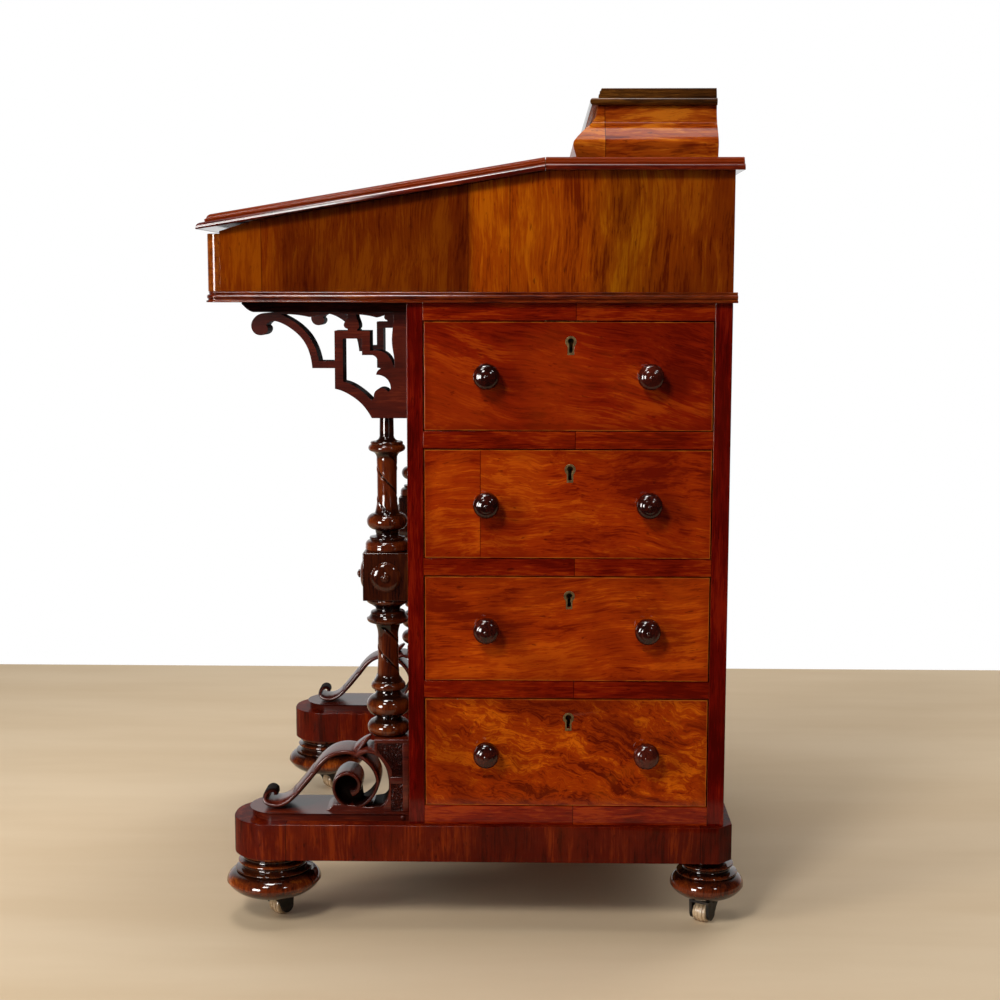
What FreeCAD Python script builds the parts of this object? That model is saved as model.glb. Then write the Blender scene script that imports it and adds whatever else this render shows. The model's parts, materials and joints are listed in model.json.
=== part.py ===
"""Davenport desk: a sloped writing box on a case of four side drawers, with turned
columns, fretted brackets and carved scroll feet on a plinth that runs on castors.

Frame: millimetres, +Z up from the floor, the writer's side at -Y, the real drawers at +X.
The origin is on the floor, in the middle of the desk's overall box.
"""
import FreeCAD, Part
import math
import os

Vector = FreeCAD.Vector
doc = FreeCAD.newDocument("davenport_desk")

# ---------------------------------------------------------------- driving dimensions
SIZES = {
    # castors
    "wheel_diameter": 22.0, "wheel_width": 16.0, "castor_trail": 8.0, "wheel_clearance": 0.6,
    "front_castor_turn": -42.0, "rear_castor_turn": 148.0,
    "axle_radius": 2.0, "fork_plate": 3.0, "fork_gap": 0.6, "fork_crown": 2.6, "crown_radius": 14.0,
    "spindle_radius": 3.9, "spindle_length": 26.0, "socket_wall": 2.0, "socket_plate": 2.2,
    "socket_plate_radius": 17.0, "running_fit": 0.08, "body_gap": 0.3,
    # bun feet and plinth
    "front_bun_radius": 51.4, "rear_bun_radius": 39.8, "bun_height": 49.7,
    "front_bun_setback": 53.6, "rear_bun_inset": 12.8,
    "plinth_height": 39.5, "plinth_overhang": 8.0, "plinth_back_overhang": 10.0,
    "plinth_front_setback": 12.9, "arm_width": 92.0, "arm_nose_flat": 8.0, "rear_cant": 15.0,
    "cross_rail_width": 24.0,
    # case of drawers
    "case_width": 541.0, "case_depth": 333.6, "front_board": 16.7, "back_board": 17.7,
    "side_board": 18.0, "rail_height": 18.0, "bottom_rail_height": 20.2, "rail_depth": 48.0,
    "runner_width": 14.0, "bottom_board": 8.0, "dummy_depth": 6.0,
    "drawer_opening_one": 113.7, "drawer_opening_two": 115.0,
    "drawer_opening_three": 112.4, "drawer_opening_four": 117.3,
    "drawer_gap": 0.6, "drawer_back_gap": 15.0, "drawer_front": 20.0, "drawer_side": 10.0,
    "drawer_back": 10.0, "drawer_bottom": 6.0, "drawer_bottom_rise": 7.0, "drawer_side_drop": 14.0,
    # knobs, keyholes and locks
    "knob_radius": 14.3, "knob_length": 24.0, "knob_spacing": 168.0,
    "knob_spigot": 4.9, "spigot_length": 16.0, "spigot_fit": 0.1,
    "keyhole_width": 5.0, "keyhole_height": 15.0, "escutcheon_rim": 2.2, "escutcheon_depth": 2.0,
    "keyhole_drop": 25.4, "keyhole_shift": 2.4, "lock_width": 54.0, "lock_height": 40.0, "lock_depth": 9.0,
    # writing box
    "box_depth": 538.2, "box_board": 14.0, "floor_board": 11.0, "box_back_height": 121.9,
    "front_corner": 10.0, "moulding_reach": 7.0, "moulding_front_reach": 2.0, "moulding_seat": 6.0,
    "lid_front_gap": 5.0, "gap_run": 32.0,
    # top board and sloping lid
    "board_thickness": 13.5, "top_overhang": 12.5, "top_board_depth": 200.2,
    "top_back_overhang": 8.4, "slope_angle": 9.5, "lid_tip_reach": 8.2, "lid_gap": 0.6,
    "upper_step": 6.8, "step_setback": 9.0, "front_step_setback": 13.4,
    "skiver_border": 52.0, "skiver_thickness": 1.2, "skiver_sink": 0.9,
    # gallery
    "gallery_height": 53.5, "gallery_depth": 129.8, "gallery_end_setback": 36.5,
    "gallery_setback": 16.8, "gallery_wall": 10.0, "ogee_reach": 24.8, "gallery_lid_overhang": 8.0,
    "gallery_lid_slab": 10.5, "gallery_lid_nosing": 7.7, "slab_setback": 9.8,
    # hinges
    "hinge_length": 50.0, "leaf_width": 11.0, "leaf_thickness": 1.2, "knuckle_radius": 2.6,
    "hinge_pin": 1.3, "hinge_rise": 0.6, "hinge_end_setback": 113.0, "gallery_leaf": 8.0,
    "gallery_hinge_setback": 96.5,
    # columns, brackets and scroll feet
    "column_block": 48.6, "column_block_height": 51.0, "base_block_height": 79.5,
    "base_block_depth": 38.0,
    "base_block_width": 50.0, "boss_radius": 16.0, "boss_length": 8.0,
    "bracket_height": 110.1, "bracket_thickness": 34.0, "bearer_thickness": 10.0,
    "bearer_width": 60.0, "bearer_length": 170.5,
    "scroll_width": 44.0, "ribbon": 4.6, "slip_thickness": 8.5, "slip_width": 62.0,
    "slip_length": 173.0,
}


class Size(float):
    """A length that also carries the sheet formula it was worked out with."""

    def __new__(cls, value, formula):
        size = float.__new__(cls, value)
        size.formula = formula
        return size

    def __add__(self, other):
        return Size(float(self) + float(other), f"({self.formula} + {formula(other)})")

    def __radd__(self, other):
        return Size(float(other) + float(self), f"({formula(other)} + {self.formula})")

    def __sub__(self, other):
        return Size(float(self) - float(other), f"({self.formula} - {formula(other)})")

    def __rsub__(self, other):
        return Size(float(other) - float(self), f"({formula(other)} - {self.formula})")

    def __mul__(self, factor):
        return Size(float(self) * float(factor), f"({self.formula} * {formula(factor)})")

    __rmul__ = __mul__

    def __truediv__(self, factor):
        return Size(float(self) / float(factor), f"({self.formula} / {formula(factor)})")

    def __neg__(self):
        return Size(-float(self), f"(-{self.formula})")


def formula(value):
    """The sheet formula of a size, or the digits of a plain number."""
    return value.formula if isinstance(value, Size) else f"{float(value):.6f}"


def make_sheet():
    """Write every driving dimension to the sheet and hand them back as sizes."""
    sheet = doc.addObject("Spreadsheet::Sheet", "Sizes")
    sizes = {}
    for row, (name, value) in enumerate(SIZES.items(), start=1):
        sheet.set(f"A{row}", name)
        sheet.set(f"B{row}", str(value))
        sheet.setAlias(f"B{row}", name)
    doc.recompute()
    for name in SIZES:
        sizes[name] = Size(sheet.getPropertyByName(name), f"Sizes.{name}")
    return sizes


s = make_sheet()
nodes = []


# ---------------------------------------------------------------- small building blocks
def bind(item, name, size):
    """Set a property and tie it to the sheet."""
    if "." not in name:
        setattr(item, name, float(size))
    if isinstance(size, Size):
        item.setExpression(name, size.formula)


def place(item, x=0.0, y=0.0, z=0.0, rotation=None):
    """Put an item at a point that follows the sheet."""
    turn = rotation or FreeCAD.Rotation()
    item.Placement = FreeCAD.Placement(Vector(float(x), float(y), float(z)), turn)
    for axis, size in (("x", x), ("y", y), ("z", z)):
        bind(item, f".Placement.Base.{axis}", size)
    return item


def board(name, x, y, z):
    """A plain board between two faces along each axis: x, y and z are (low, high) pairs."""
    item = doc.addObject("Part::Box", name)
    for prop, (low, high) in (("Length", x), ("Width", y), ("Height", z)):
        bind(item, prop, high - low)
    return place(item, x[0], y[0], z[0])


def rod(name, radius, length, x, y, z, rotation=None):
    """A round rod that starts at a point and runs along its own axis."""
    item = doc.addObject("Part::Cylinder", name)
    bind(item, "Radius", radius)
    bind(item, "Height", length)
    return place(item, x, y, z, rotation)


def cut(name, base, tools):
    """Take the tools out of the base."""
    tool = tools[0] if len(tools) == 1 else group(name + "_cuts", tools)
    item = doc.addObject("Part::Cut", name)
    item.Base, item.Tool = base, tool
    return item


def join(name, shapes):
    """One solid out of several."""
    item = doc.addObject("Part::MultiFuse", name)
    item.Shapes = shapes
    item.Refine = True
    return item


def meet(name, first, second):
    """What two solids have in common."""
    item = doc.addObject("Part::Common", name)
    item.Base, item.Tool = first, second
    return item


def group(name, items):
    """Separate solids held in one item."""
    item = doc.addObject("Part::Compound", name)
    item.Links = items
    return item


def mirrored(name, source, normal=(1, 0, 0)):
    """The same piece on the other side of the desk's middle plane."""
    item = doc.addObject("Part::Mirroring", name)
    item.Source = source
    item.Base = Vector(0, 0, 0)
    item.Normal = Vector(*normal)
    return item


def node(name, item):
    """Name an item as a finished piece of the desk."""
    item.Label = name
    nodes.append((name, item))
    return item


class Outline:
    """A closed flat outline made of lines, arcs and smooth curves."""

    def __init__(self, x, y):
        self.start = self.last = (float(x), float(y))
        self.edges = []

    def line(self, *points):
        for x, y in points:
            end = (float(x), float(y))
            self.edges.append(Part.LineSegment(Vector(*self.last, 0), Vector(*end, 0)))
            self.last = end
        return self

    def arc(self, x, y, sag):
        """An arc to a point; a positive sag bulges to the left of the way there."""
        (ax, ay), (bx, by) = self.last, (float(x), float(y))
        chord = math.hypot(bx - ax, by - ay)
        middle = Vector((ax + bx) / 2 - (by - ay) * sag / chord,
                        (ay + by) / 2 + (bx - ax) * sag / chord, 0)
        self.edges.append(Part.Arc(Vector(ax, ay, 0), middle, Vector(bx, by, 0)))
        self.last = (bx, by)
        return self

    def curve(self, *points):
        """A smooth curve from the last point through the given points."""
        spline = Part.BSplineCurve()
        spline.interpolate([Vector(*self.last, 0)] + [Vector(float(x), float(y), 0) for x, y in points])
        self.edges.append(spline)
        self.last = (float(points[-1][0]), float(points[-1][1]))
        return self

    def close(self):
        if math.dist(self.last, self.start) > 1e-6:
            self.line(self.start)
        return self.edges


ACROSS = FreeCAD.Rotation(Vector(1, 1, 1), 120)    # outline in Y and Z, depth along +X
ALONG = FreeCAD.Rotation(Vector(1, 0, 0), 90)      # outline in X and Z, depth along -Y
FLAT = FreeCAD.Rotation()                          # outline in X and Y, depth along +Z


def prism(name, edges, rotation, depth, x=0.0, y=0.0, z=0.0):
    """An outline pushed to a depth from the place given."""
    sketch = doc.addObject("Sketcher::SketchObject", name + "_outline")
    sketch.addGeometry(edges, False)
    item = doc.addObject("Part::Extrusion", name)
    item.Base = sketch
    item.DirMode = "Normal"
    item.Solid = True
    bind(item, "LengthFwd", depth)
    place(sketch, x, y, z, rotation)
    return item


def origin_plane(body, role):
    """One of a body's own origin planes."""
    return next(item for item in body.Origin.OriginFeatures if item.Role == role)


def turned(name, edges):
    """A piece turned about its own Z axis from a half outline of radius and height."""
    body = doc.addObject("PartDesign::Body", name)
    sketch = body.newObject("Sketcher::SketchObject", name + "_profile")
    sketch.AttachmentSupport = [(origin_plane(body, "XZ_Plane"), "")]
    sketch.MapMode = "FlatFace"
    sketch.addGeometry(edges, False)
    spin = body.newObject("PartDesign::Revolution", name + "_turning")
    spin.Profile = sketch
    spin.ReferenceAxis = (sketch, ["V_Axis"])
    spin.Angle = 360.0
    body.Tip = spin
    return body


def add_pad(body, name, edges, depth, lift):
    """Add an upright block to a turned piece."""
    sketch = body.newObject("Sketcher::SketchObject", name + "_section")
    sketch.AttachmentSupport = [(origin_plane(body, "XY_Plane"), "")]
    sketch.MapMode = "FlatFace"
    sketch.AttachmentOffset = FreeCAD.Placement(Vector(0, 0, float(lift)), FreeCAD.Rotation())
    bind(sketch, ".AttachmentOffset.Base.z", lift)
    sketch.addGeometry(edges, False)
    pad = body.newObject("PartDesign::Pad", name)
    pad.Profile = sketch
    bind(pad, "Length", depth)
    body.Tip = pad
    return body


# ---------------------------------------------------------------- levels and planes
floor_level = 0.0
fork_top = s["wheel_diameter"] + s["wheel_clearance"] + s["fork_crown"]
bun_bottom = fork_top + s["body_gap"] + s["socket_plate"]
plinth_bottom = bun_bottom + s["bun_height"]
plinth_top = plinth_bottom + s["plinth_height"]
openings = [s["drawer_opening_four"], s["drawer_opening_three"],
            s["drawer_opening_two"], s["drawer_opening_one"]]
bay_floors = []
level = plinth_top + s["bottom_rail_height"]
for opening in openings:
    bay_floors.append(level)
    level = level + opening + s["rail_height"]
case_top = level
box_floor_top = case_top + s["floor_board"]
board_bottom = box_floor_top + s["box_back_height"]
board_top = board_bottom + s["board_thickness"]
gallery_top = board_top + s["gallery_height"]

case_half = s["case_width"] / 2
board_half = case_half + s["top_overhang"]
gallery_half = board_half - s["gallery_end_setback"]
plinth_half = case_half + s["plinth_overhang"]
column_x = plinth_half - s["arm_width"] / 2
rear_reach = s["rear_bun_radius"] - s["rear_bun_inset"]
desk_depth = s["lid_tip_reach"] + s["box_depth"] + rear_reach
back_y = desk_depth / 2 - rear_reach
case_front_y = back_y - s["case_depth"]
box_front_y = back_y - s["box_depth"]
plinth_back_y = back_y + s["plinth_back_overhang"]
plinth_front_y = box_front_y + s["plinth_front_setback"]
column_y = case_front_y - s["column_block"] / 2
hinge_y = back_y + s["top_back_overhang"] - s["top_board_depth"]
slope = math.radians(s["slope_angle"])
front_bun_y = box_front_y + s["front_bun_setback"]
rear_bun_y = back_y - s["rear_bun_inset"]
gallery_back_y = back_y - s["gallery_setback"]
gallery_front_y = gallery_back_y - s["gallery_depth"]


# ---------------------------------------------------------------- feet and castors
def bun_profile(r, bead, ledge, collar, shoulder, equator, belly):
    """Half outline of a bun foot, from its bead under the plinth to the castor plate.

    Below the bead come a groove, a thin ledge, a second groove, a collar and the flattened
    ball. bead, ledge, collar and belly are measured in from the ball's radius r, shoulder down
    from the top, and equator up from the bottom.
    """
    top, k = s["bun_height"], shoulder / 23.0
    outline = Outline(s["spindle_radius"] + s["running_fit"] + s["socket_wall"], top)
    outline.line((r - bead, top)).arc(r - bead, top - 5.2 * k, 1.5)
    outline.line((r - bead - 2.0, top - 6.2 * k)).arc(r - bead - 1.4, top - 10.4 * k, -0.9)
    outline.line((r - ledge, top - 11.4 * k), (r - ledge, top - 13.2 * k))
    outline.line((r - ledge - 2.2, top - 14.2 * k)).arc(r - ledge - 1.0, top - 18.6 * k, -1.2)
    outline.line((r - collar, top - 20.2 * k), (r - collar, top - 22.0 * k))
    outline.line((r - collar - 1.2, top - 23.0 * k))
    outline.arc(r, equator, 2.8).arc(r - belly, 0, 0.13 * math.hypot(belly, equator))
    outline.line((outline.start[0], 0))
    return outline.close()


def bun_feet(name, profile, y):
    """A pair of buns of one profile, a right one and its mirror image."""
    right = place(turned(name + "_right", profile), column_x, y, bun_bottom)
    node(name, group(name, [right, mirrored(name + "_left", right)]))


def socket(name, x, y):
    """A plate under the bun with the tube that the castor's spindle turns in."""
    bore = s["spindle_radius"] + s["running_fit"]
    low = -s["socket_plate"]
    high = s["spindle_length"] - s["socket_plate"] + 1.0
    outline = Outline(bore, low).line((s["socket_plate_radius"], low), (s["socket_plate_radius"], 0))
    outline.line((bore + s["socket_wall"], 0), (bore + s["socket_wall"], high), (bore, high))
    return place(turned(name, outline.close()), x, y, bun_bottom)


CORNERS = {"front_right": (1, 1), "front_left": (-1, 1), "rear_right": (1, -1), "rear_left": (-1, -1)}


def corner_place(side, end):
    """X and Y of a corner's bun and castor."""
    return column_x * side, front_bun_y if end > 0 else rear_bun_y


def castor_fork(name, x, y, turn):
    """Crown, spindle, two horned cheeks and the axle, made with the trail along -X and turned."""
    wheel_r = s["wheel_diameter"] / 2
    half = s["wheel_width"] / 2 + s["fork_gap"]
    crown_low = fork_top - s["fork_crown"]
    trail = s["castor_trail"]
    cheek = Outline(10, crown_low).line((10, fork_top), (-trail - 10, fork_top), (-trail - 9, wheel_r))
    cheek.arc(-trail + 6, wheel_r - 3, -6.5).arc(10, crown_low, 2.0)
    cheeks = []
    for index, face in enumerate((half + s["fork_plate"], -half)):
        cheeks.append(prism(f"{name}_cheek_{index}", cheek.close(), ALONG, s["fork_plate"], 0, face, 0))
    crown = rod(name + "_crown", s["crown_radius"], s["fork_crown"], 0, 0, crown_low)
    bridge = board(name + "_bridge", (-trail - 10, 0.0), (-half - s["fork_plate"], half + s["fork_plate"]),
                   (crown_low, fork_top))
    spindle = rod(name + "_spindle", s["spindle_radius"], s["spindle_length"], 0, 0, fork_top - 0.5)
    axle_length = 2 * (half + s["fork_plate"])
    axle = rod(name + "_axle", s["axle_radius"], axle_length, -trail, axle_length / 2, wheel_r, ALONG)
    fork = join(name, cheeks + [crown, bridge, spindle, axle])
    return place(fork, x, y, 0.0, FreeCAD.Rotation(Vector(0, 0, 1), float(turn)))


def castor_wheel(name, x, y, turn):
    """A grooved wheel, bored to run on the axle."""
    r, half = s["wheel_diameter"] / 2, s["wheel_width"] / 2
    bore = s["axle_radius"] + s["running_fit"]
    outline = Outline(bore, -half).line((r - 3, -half)).arc(r - 0.4, -half + 3, -0.7)
    outline.line((r - 1.2, -half + 3.4), (r - 1.2, -half + 4.2), (r, -half + 4.6), (r, half - 4.6))
    outline.line((r - 1.2, half - 4.2), (r - 1.2, half - 3.4), (r - 0.4, half - 3)).arc(r - 3, half, -0.7)
    wheel = turned(name, outline.line((bore, half)).close())
    spin = FreeCAD.Rotation(Vector(0, 0, 1), float(turn))
    trail = s["castor_trail"]
    way = spin.multVec(Vector(-1, 0, 0))
    return place(wheel, x + trail * way.x, y + trail * way.y, r, spin.multiply(ALONG))


def build_feet():
    front = bun_profile(s["front_bun_radius"], 15.6, 13.4, 10.3, 23.0, 15.5, 26.0)
    rear = bun_profile(s["rear_bun_radius"], 17.0, 11.4, 7.1, 24.6, 12.5, 20.5)
    bun_feet("bun_feet_front", front, front_bun_y)
    bun_feet("bun_feet_rear", rear, rear_bun_y)
    sockets = []
    for corner, (side, end) in CORNERS.items():
        x, y = corner_place(side, end)
        turn = s["front_castor_turn"] if end > 0 else s["rear_castor_turn"]
        sockets.append(socket("socket_" + corner, x, y))
        node("castor_fork_" + corner, castor_fork("fork_" + corner, x, y, turn))
        node("castor_wheel_" + corner, castor_wheel("wheel_" + corner, x, y, turn))
    node("castor_sockets", group("castor_sockets", sockets))


# ---------------------------------------------------------------- plinth
def build_plinth():
    """Two side members with rounded front ends, and two rails across."""
    outer, inner = plinth_half, plinth_half - s["arm_width"]
    r, cant = (s["arm_width"] - s["arm_nose_flat"]) / 2, s["rear_cant"]
    swell = r * (1 - math.sqrt(0.5))
    outline = Outline(outer, plinth_back_y - cant)
    outline.line((outer - cant, plinth_back_y), (inner, plinth_back_y), (inner, plinth_front_y + r))
    outline.arc(inner + r, plinth_front_y, -swell).line((outer - r, plinth_front_y))
    outline.arc(outer, plinth_front_y + r, -swell)
    right = prism("plinth_member", outline.close(), FLAT, s["plinth_height"], 0, 0, plinth_bottom)
    node("plinth_side_right", right)
    node("plinth_side_left", mirrored("plinth_member_left", right))
    width, height, thick = (-inner, inner), (plinth_bottom, plinth_top), s["cross_rail_width"]
    rails = [board("plinth_front_rail", width, (case_front_y, case_front_y + thick), height),
             board("plinth_back_rail", width, (plinth_back_y - thick, plinth_back_y), height)]
    node("plinth_cross_rails", group("plinth_cross_rails", rails))


# ---------------------------------------------------------------- case of drawers
def build_case():
    """Front and back boards, the closed left side, rails, runners and the bottom."""
    bay_front = case_front_y + s["front_board"]
    bay_back = back_y - s["back_board"]
    width, height = (-case_half, case_half), (plinth_top, case_top)
    node("case_front_board", board("front_board", width, (case_front_y, bay_front), height))
    node("case_back_board", board("back_board", width, (bay_back, back_y), height))
    rails, runners, recesses, dummies = [], [], [], []
    rail_low = plinth_top
    for index, bay_floor in enumerate(bay_floors + [case_top]):
        rail_high = bay_floor if index < len(bay_floors) else case_top
        rails.append(board(f"rail_{index}", (case_half - s["rail_depth"], case_half), (bay_front, bay_back),
                           (rail_low, rail_high)))
        if index == len(bay_floors):
            break
        rail_low = bay_floor + openings[index]
        run = (-case_half + s["side_board"], case_half - s["rail_depth"])
        thick = (bay_floor - s["runner_width"], bay_floor)
        runners.append(board(f"runner_front_{index}", run, (bay_front, bay_front + s["runner_width"]), thick))
        runners.append(board(f"runner_back_{index}", run, (bay_back - s["runner_width"], bay_back), thick))
        bay = (bay_floor, rail_low)
        recesses.append(board(f"recess_{index}", (-case_half - 1, -case_half + s["dummy_depth"]),
                              (bay_front, bay_back), bay))
        dummies.append(dummy_front(index, (bay_front, bay_back), bay))
    left = board("left_panel", (-case_half, -case_half + s["side_board"]), (bay_front, bay_back), height)
    node("case_side_left", cut("left_side", left, recesses))
    node("drawer_rails", group("drawer_rails", rails))
    node("drawer_runners", group("drawer_runners", runners))
    node("dummy_drawer_fronts", group("dummy_drawer_fronts", dummies))
    inside = (-case_half + s["side_board"], case_half - s["rail_depth"])
    between = inset((bay_front, bay_back), s["runner_width"])
    node("case_bottom_board", board("bottom", inside, between, (plinth_top, plinth_top + s["bottom_board"])))


def inset(pair, gap):
    """A pair of faces moved towards each other by a gap."""
    return pair[0] + gap, pair[1] - gap


def keyhole(width, height):
    """A keyhole: a round head over a straight slot, centred on the origin."""
    head = width * 0.62
    neck = math.sqrt(head ** 2 - (width * 0.36) ** 2)
    top = height / 2
    slot = width * 0.36
    outline = Outline(-slot, -top).line((slot, -top), (slot, top - head - neck))
    outline.arc(-slot, top - head - neck, -(head + neck))
    return outline.close()


def keyhole_prism(name, x, y, z, depth, grow):
    """A keyhole pushed along +X."""
    outline = keyhole(s["keyhole_width"] + 2 * grow, s["keyhole_height"] + 2 * grow)
    return prism(name, outline, ACROSS, depth, x, y, z)


def bay_middle():
    """Y of the middle of the drawer bays."""
    return (case_front_y + s["front_board"] + back_y - s["back_board"]) / 2


def keyhole_place(bay):
    """Y and Z of a bay's keyhole."""
    return bay_middle() + s["keyhole_shift"], bay[1] - s["keyhole_drop"]


def knob_places(bay):
    """The two knob centres of a bay, at its middle height."""
    middle = bay_middle()
    height = (bay[0] + bay[1]) / 2
    return [(middle - s["knob_spacing"] / 2, height), (middle + s["knob_spacing"] / 2, height)]


def dummy_front(index, width, bay):
    """A false drawer front let into the left side, with its keyhole plate and knob holes."""
    face = board(f"dummy_face_{index}", (-case_half, -case_half + s["dummy_depth"]),
                 inset(width, s["drawer_gap"]), inset(bay, s["drawer_gap"]))
    key_y, key_z = keyhole_place(bay)
    plate = keyhole_prism(f"dummy_plate_seat_{index}", -case_half - 1, key_y, key_z,
                          s["escutcheon_depth"] + 1, s["escutcheon_rim"])
    holes = [rod(f"dummy_knob_hole_{index}_{n}", s["knob_spigot"] + s["spigot_fit"], s["dummy_depth"] + 2,
                 -case_half - 1, y, z, FreeCAD.Rotation(Vector(0, 1, 0), 90))
             for n, (y, z) in enumerate(knob_places(bay))]
    return cut(f"dummy_front_{index}", face, [plate] + holes)


def knob(name, y, z):
    """A turned knob with a pip, on a spigot that goes into the drawer front."""
    r, length = s["knob_radius"], s["knob_length"]
    outline = Outline(0, length).arc(2.4, length - 1.4, 0.7).line((4.5, length - 1.8), (5.2, length - 1.2))
    outline.line((6.2, length - 2.2)).arc(r, length - 10.5, 3.2).arc(8.2, 4.6, 2.2)
    outline.arc(9.4, 2.2, -0.8).line((9.4, 0), (0, 0))
    return place(turned(name, outline.close()), case_half, y, z, FreeCAD.Rotation(Vector(0, 1, 0), 90))


def knob_with_spigot(name, y, z, length):
    """A knob whose spigot goes to a depth behind its face."""
    head = knob(name + "_head", y, z)
    spigot = rod(name + "_spigot", s["knob_spigot"], length + 1, case_half - length, y, z,
                 FreeCAD.Rotation(Vector(0, 1, 0), 90))
    return join(name, [head, spigot])


def escutcheon(name, bay):
    """A thin brass rim round the keyhole, let in flush."""
    x, (y, z) = case_half - s["escutcheon_depth"], keyhole_place(bay)
    rim = keyhole_prism(name + "_rim", x, y, z, s["escutcheon_depth"], s["escutcheon_rim"] - 0.1)
    hole = keyhole_prism(name + "_hole", x - 1, y, z, s["escutcheon_depth"] + 2, 0)
    return cut(name, rim, [hole])


def drawer_lock(name, bay, inner_face):
    """The keyhole rim and the closed lock case screwed behind the drawer front."""
    y = keyhole_place(bay)[0]
    top, half = bay[1] - s["drawer_gap"], s["lock_width"] / 2
    case = board(name + "_case", (inner_face - s["lock_depth"], inner_face), (y - half, y + half),
                 (top - s["lock_height"], top))
    return group(name, [escutcheon(name + "_escutcheon", bay), case])


def build_drawer(index, number):
    """One drawer: front, two sides, back and bottom, two knobs and the lock."""
    low, high = bay_floors[index], bay_floors[index] + openings[index]
    gap = s["drawer_gap"]
    bay = (low, high)
    y0, y1 = inset((case_front_y + s["front_board"], back_y - s["back_board"]), gap)
    z0, z1 = low + s["body_gap"], high - gap
    inner_face = case_half - s["drawer_front"]
    back_x = -case_half + s["side_board"] + s["drawer_back_gap"]
    name = f"drawer_{number}"
    key_y, key_z = keyhole_place(bay)
    blank = board(name + "_blank", (inner_face, case_half), (y0, y1), (z0, z1))
    seat = keyhole_prism(name + "_seat", case_half - s["escutcheon_depth"], key_y, key_z,
                         s["escutcheon_depth"] + 1, s["escutcheon_rim"])
    hole = keyhole_prism(name + "_keyway", inner_face - 1, key_y, key_z, s["drawer_front"] + 2, 0)
    holes = [rod(f"{name}_knob_hole_{n}", s["knob_spigot"] + s["spigot_fit"], s["drawer_front"] + 2,
                 inner_face - 1, y, z, FreeCAD.Rotation(Vector(0, 1, 0), 90))
             for n, (y, z) in enumerate(knob_places(bay))]
    node(f"drawer_front_{number}", cut(name + "_front", blank, [seat, hole] + holes))
    side_top = z1 - s["drawer_side_drop"]
    run, between = (back_x, inner_face), inset((y0, y1), s["drawer_side"])
    bottom_low = z0 + s["drawer_bottom_rise"]
    pieces = [board(name + "_side_a", run, (y0, y0 + s["drawer_side"]), (z0, side_top)),
              board(name + "_side_b", run, (y1 - s["drawer_side"], y1), (z0, side_top)),
              board(name + "_back", (back_x, back_x + s["drawer_back"]), between, (bottom_low, side_top)),
              board(name + "_bottom", (back_x + s["drawer_back"], inner_face), between,
                    (bottom_low, bottom_low + s["drawer_bottom"]))]
    node(f"drawer_box_{number}", group(name + "_box", pieces))
    knobs = [knob_with_spigot(f"{name}_knob_{n}", y, z, s["spigot_length"])
             for n, (y, z) in enumerate(knob_places(bay))]
    node(f"drawer_knobs_{number}", group(name + "_knobs", knobs))
    node(f"drawer_lock_{number}", drawer_lock(name + "_lock", bay, inner_face))


def build_dummy_fittings():
    """Knobs and keyhole rims on the left side, facing the other way."""
    knobs, rims = [], []
    for index, opening in enumerate(openings):
        bay = (bay_floors[index], bay_floors[index] + opening)
        for n, (y, z) in enumerate(knob_places(bay)):
            knobs.append(knob_with_spigot(f"dummy_knob_{index}_{n}", y, z, s["dummy_depth"]))
        rims.append(escutcheon(f"dummy_rim_{index}", bay))
    node("dummy_knobs", mirrored("dummy_knobs", group("right_hand_knobs", knobs)))
    node("dummy_escutcheons", mirrored("dummy_escutcheons", group("right_hand_rims", rims)))


# ---------------------------------------------------------------- writing box
def lid_underside(y):
    """Height of the sloping lid's underside above a place along the box."""
    return board_top - (hinge_y - y) * math.tan(slope) - s["board_thickness"] / math.cos(slope)


def build_box():
    """Two shaped sides, the rounded front, the back and the floor."""
    front_inner = box_front_y + s["box_board"]
    half, t = case_half, s["box_board"]
    side = Outline(back_y, box_floor_top).line((back_y, board_bottom), (hinge_y, board_bottom))
    seat = s["body_gap"]
    side.line((hinge_y, lid_underside(hinge_y) - seat))
    side.line((front_inner + s["gap_run"], lid_underside(front_inner + s["gap_run"]) - seat))
    side.line((front_inner, lid_underside(front_inner) - s["lid_front_gap"]), (front_inner, box_floor_top))
    right = prism("box_side", side.close(), ACROSS, t, half - t)
    node("box_sides", group("box_sides", [right, mirrored("box_side_left", right)]))
    top = lid_underside(box_front_y) - s["lid_front_gap"]
    r = s["front_corner"]
    swell = r * (1 - math.sqrt(0.5))
    front = Outline(-half, front_inner).line((-half, box_front_y + r)).arc(-half + r, box_front_y, -swell)
    front.line((half - r, box_front_y)).arc(half, box_front_y + r, -swell).line((half, front_inner))
    node("box_front", prism("box_front", front.close(), FLAT, top - box_floor_top, 0, 0, box_floor_top))
    node("box_back", board("box_back", (-half + t, half - t), (back_y - t, back_y),
                           (box_floor_top, board_bottom)))
    node("box_floor", board("box_floor", (-half, half), (box_front_y + s["moulding_seat"], back_y),
                            (case_top, box_floor_top)))


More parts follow.
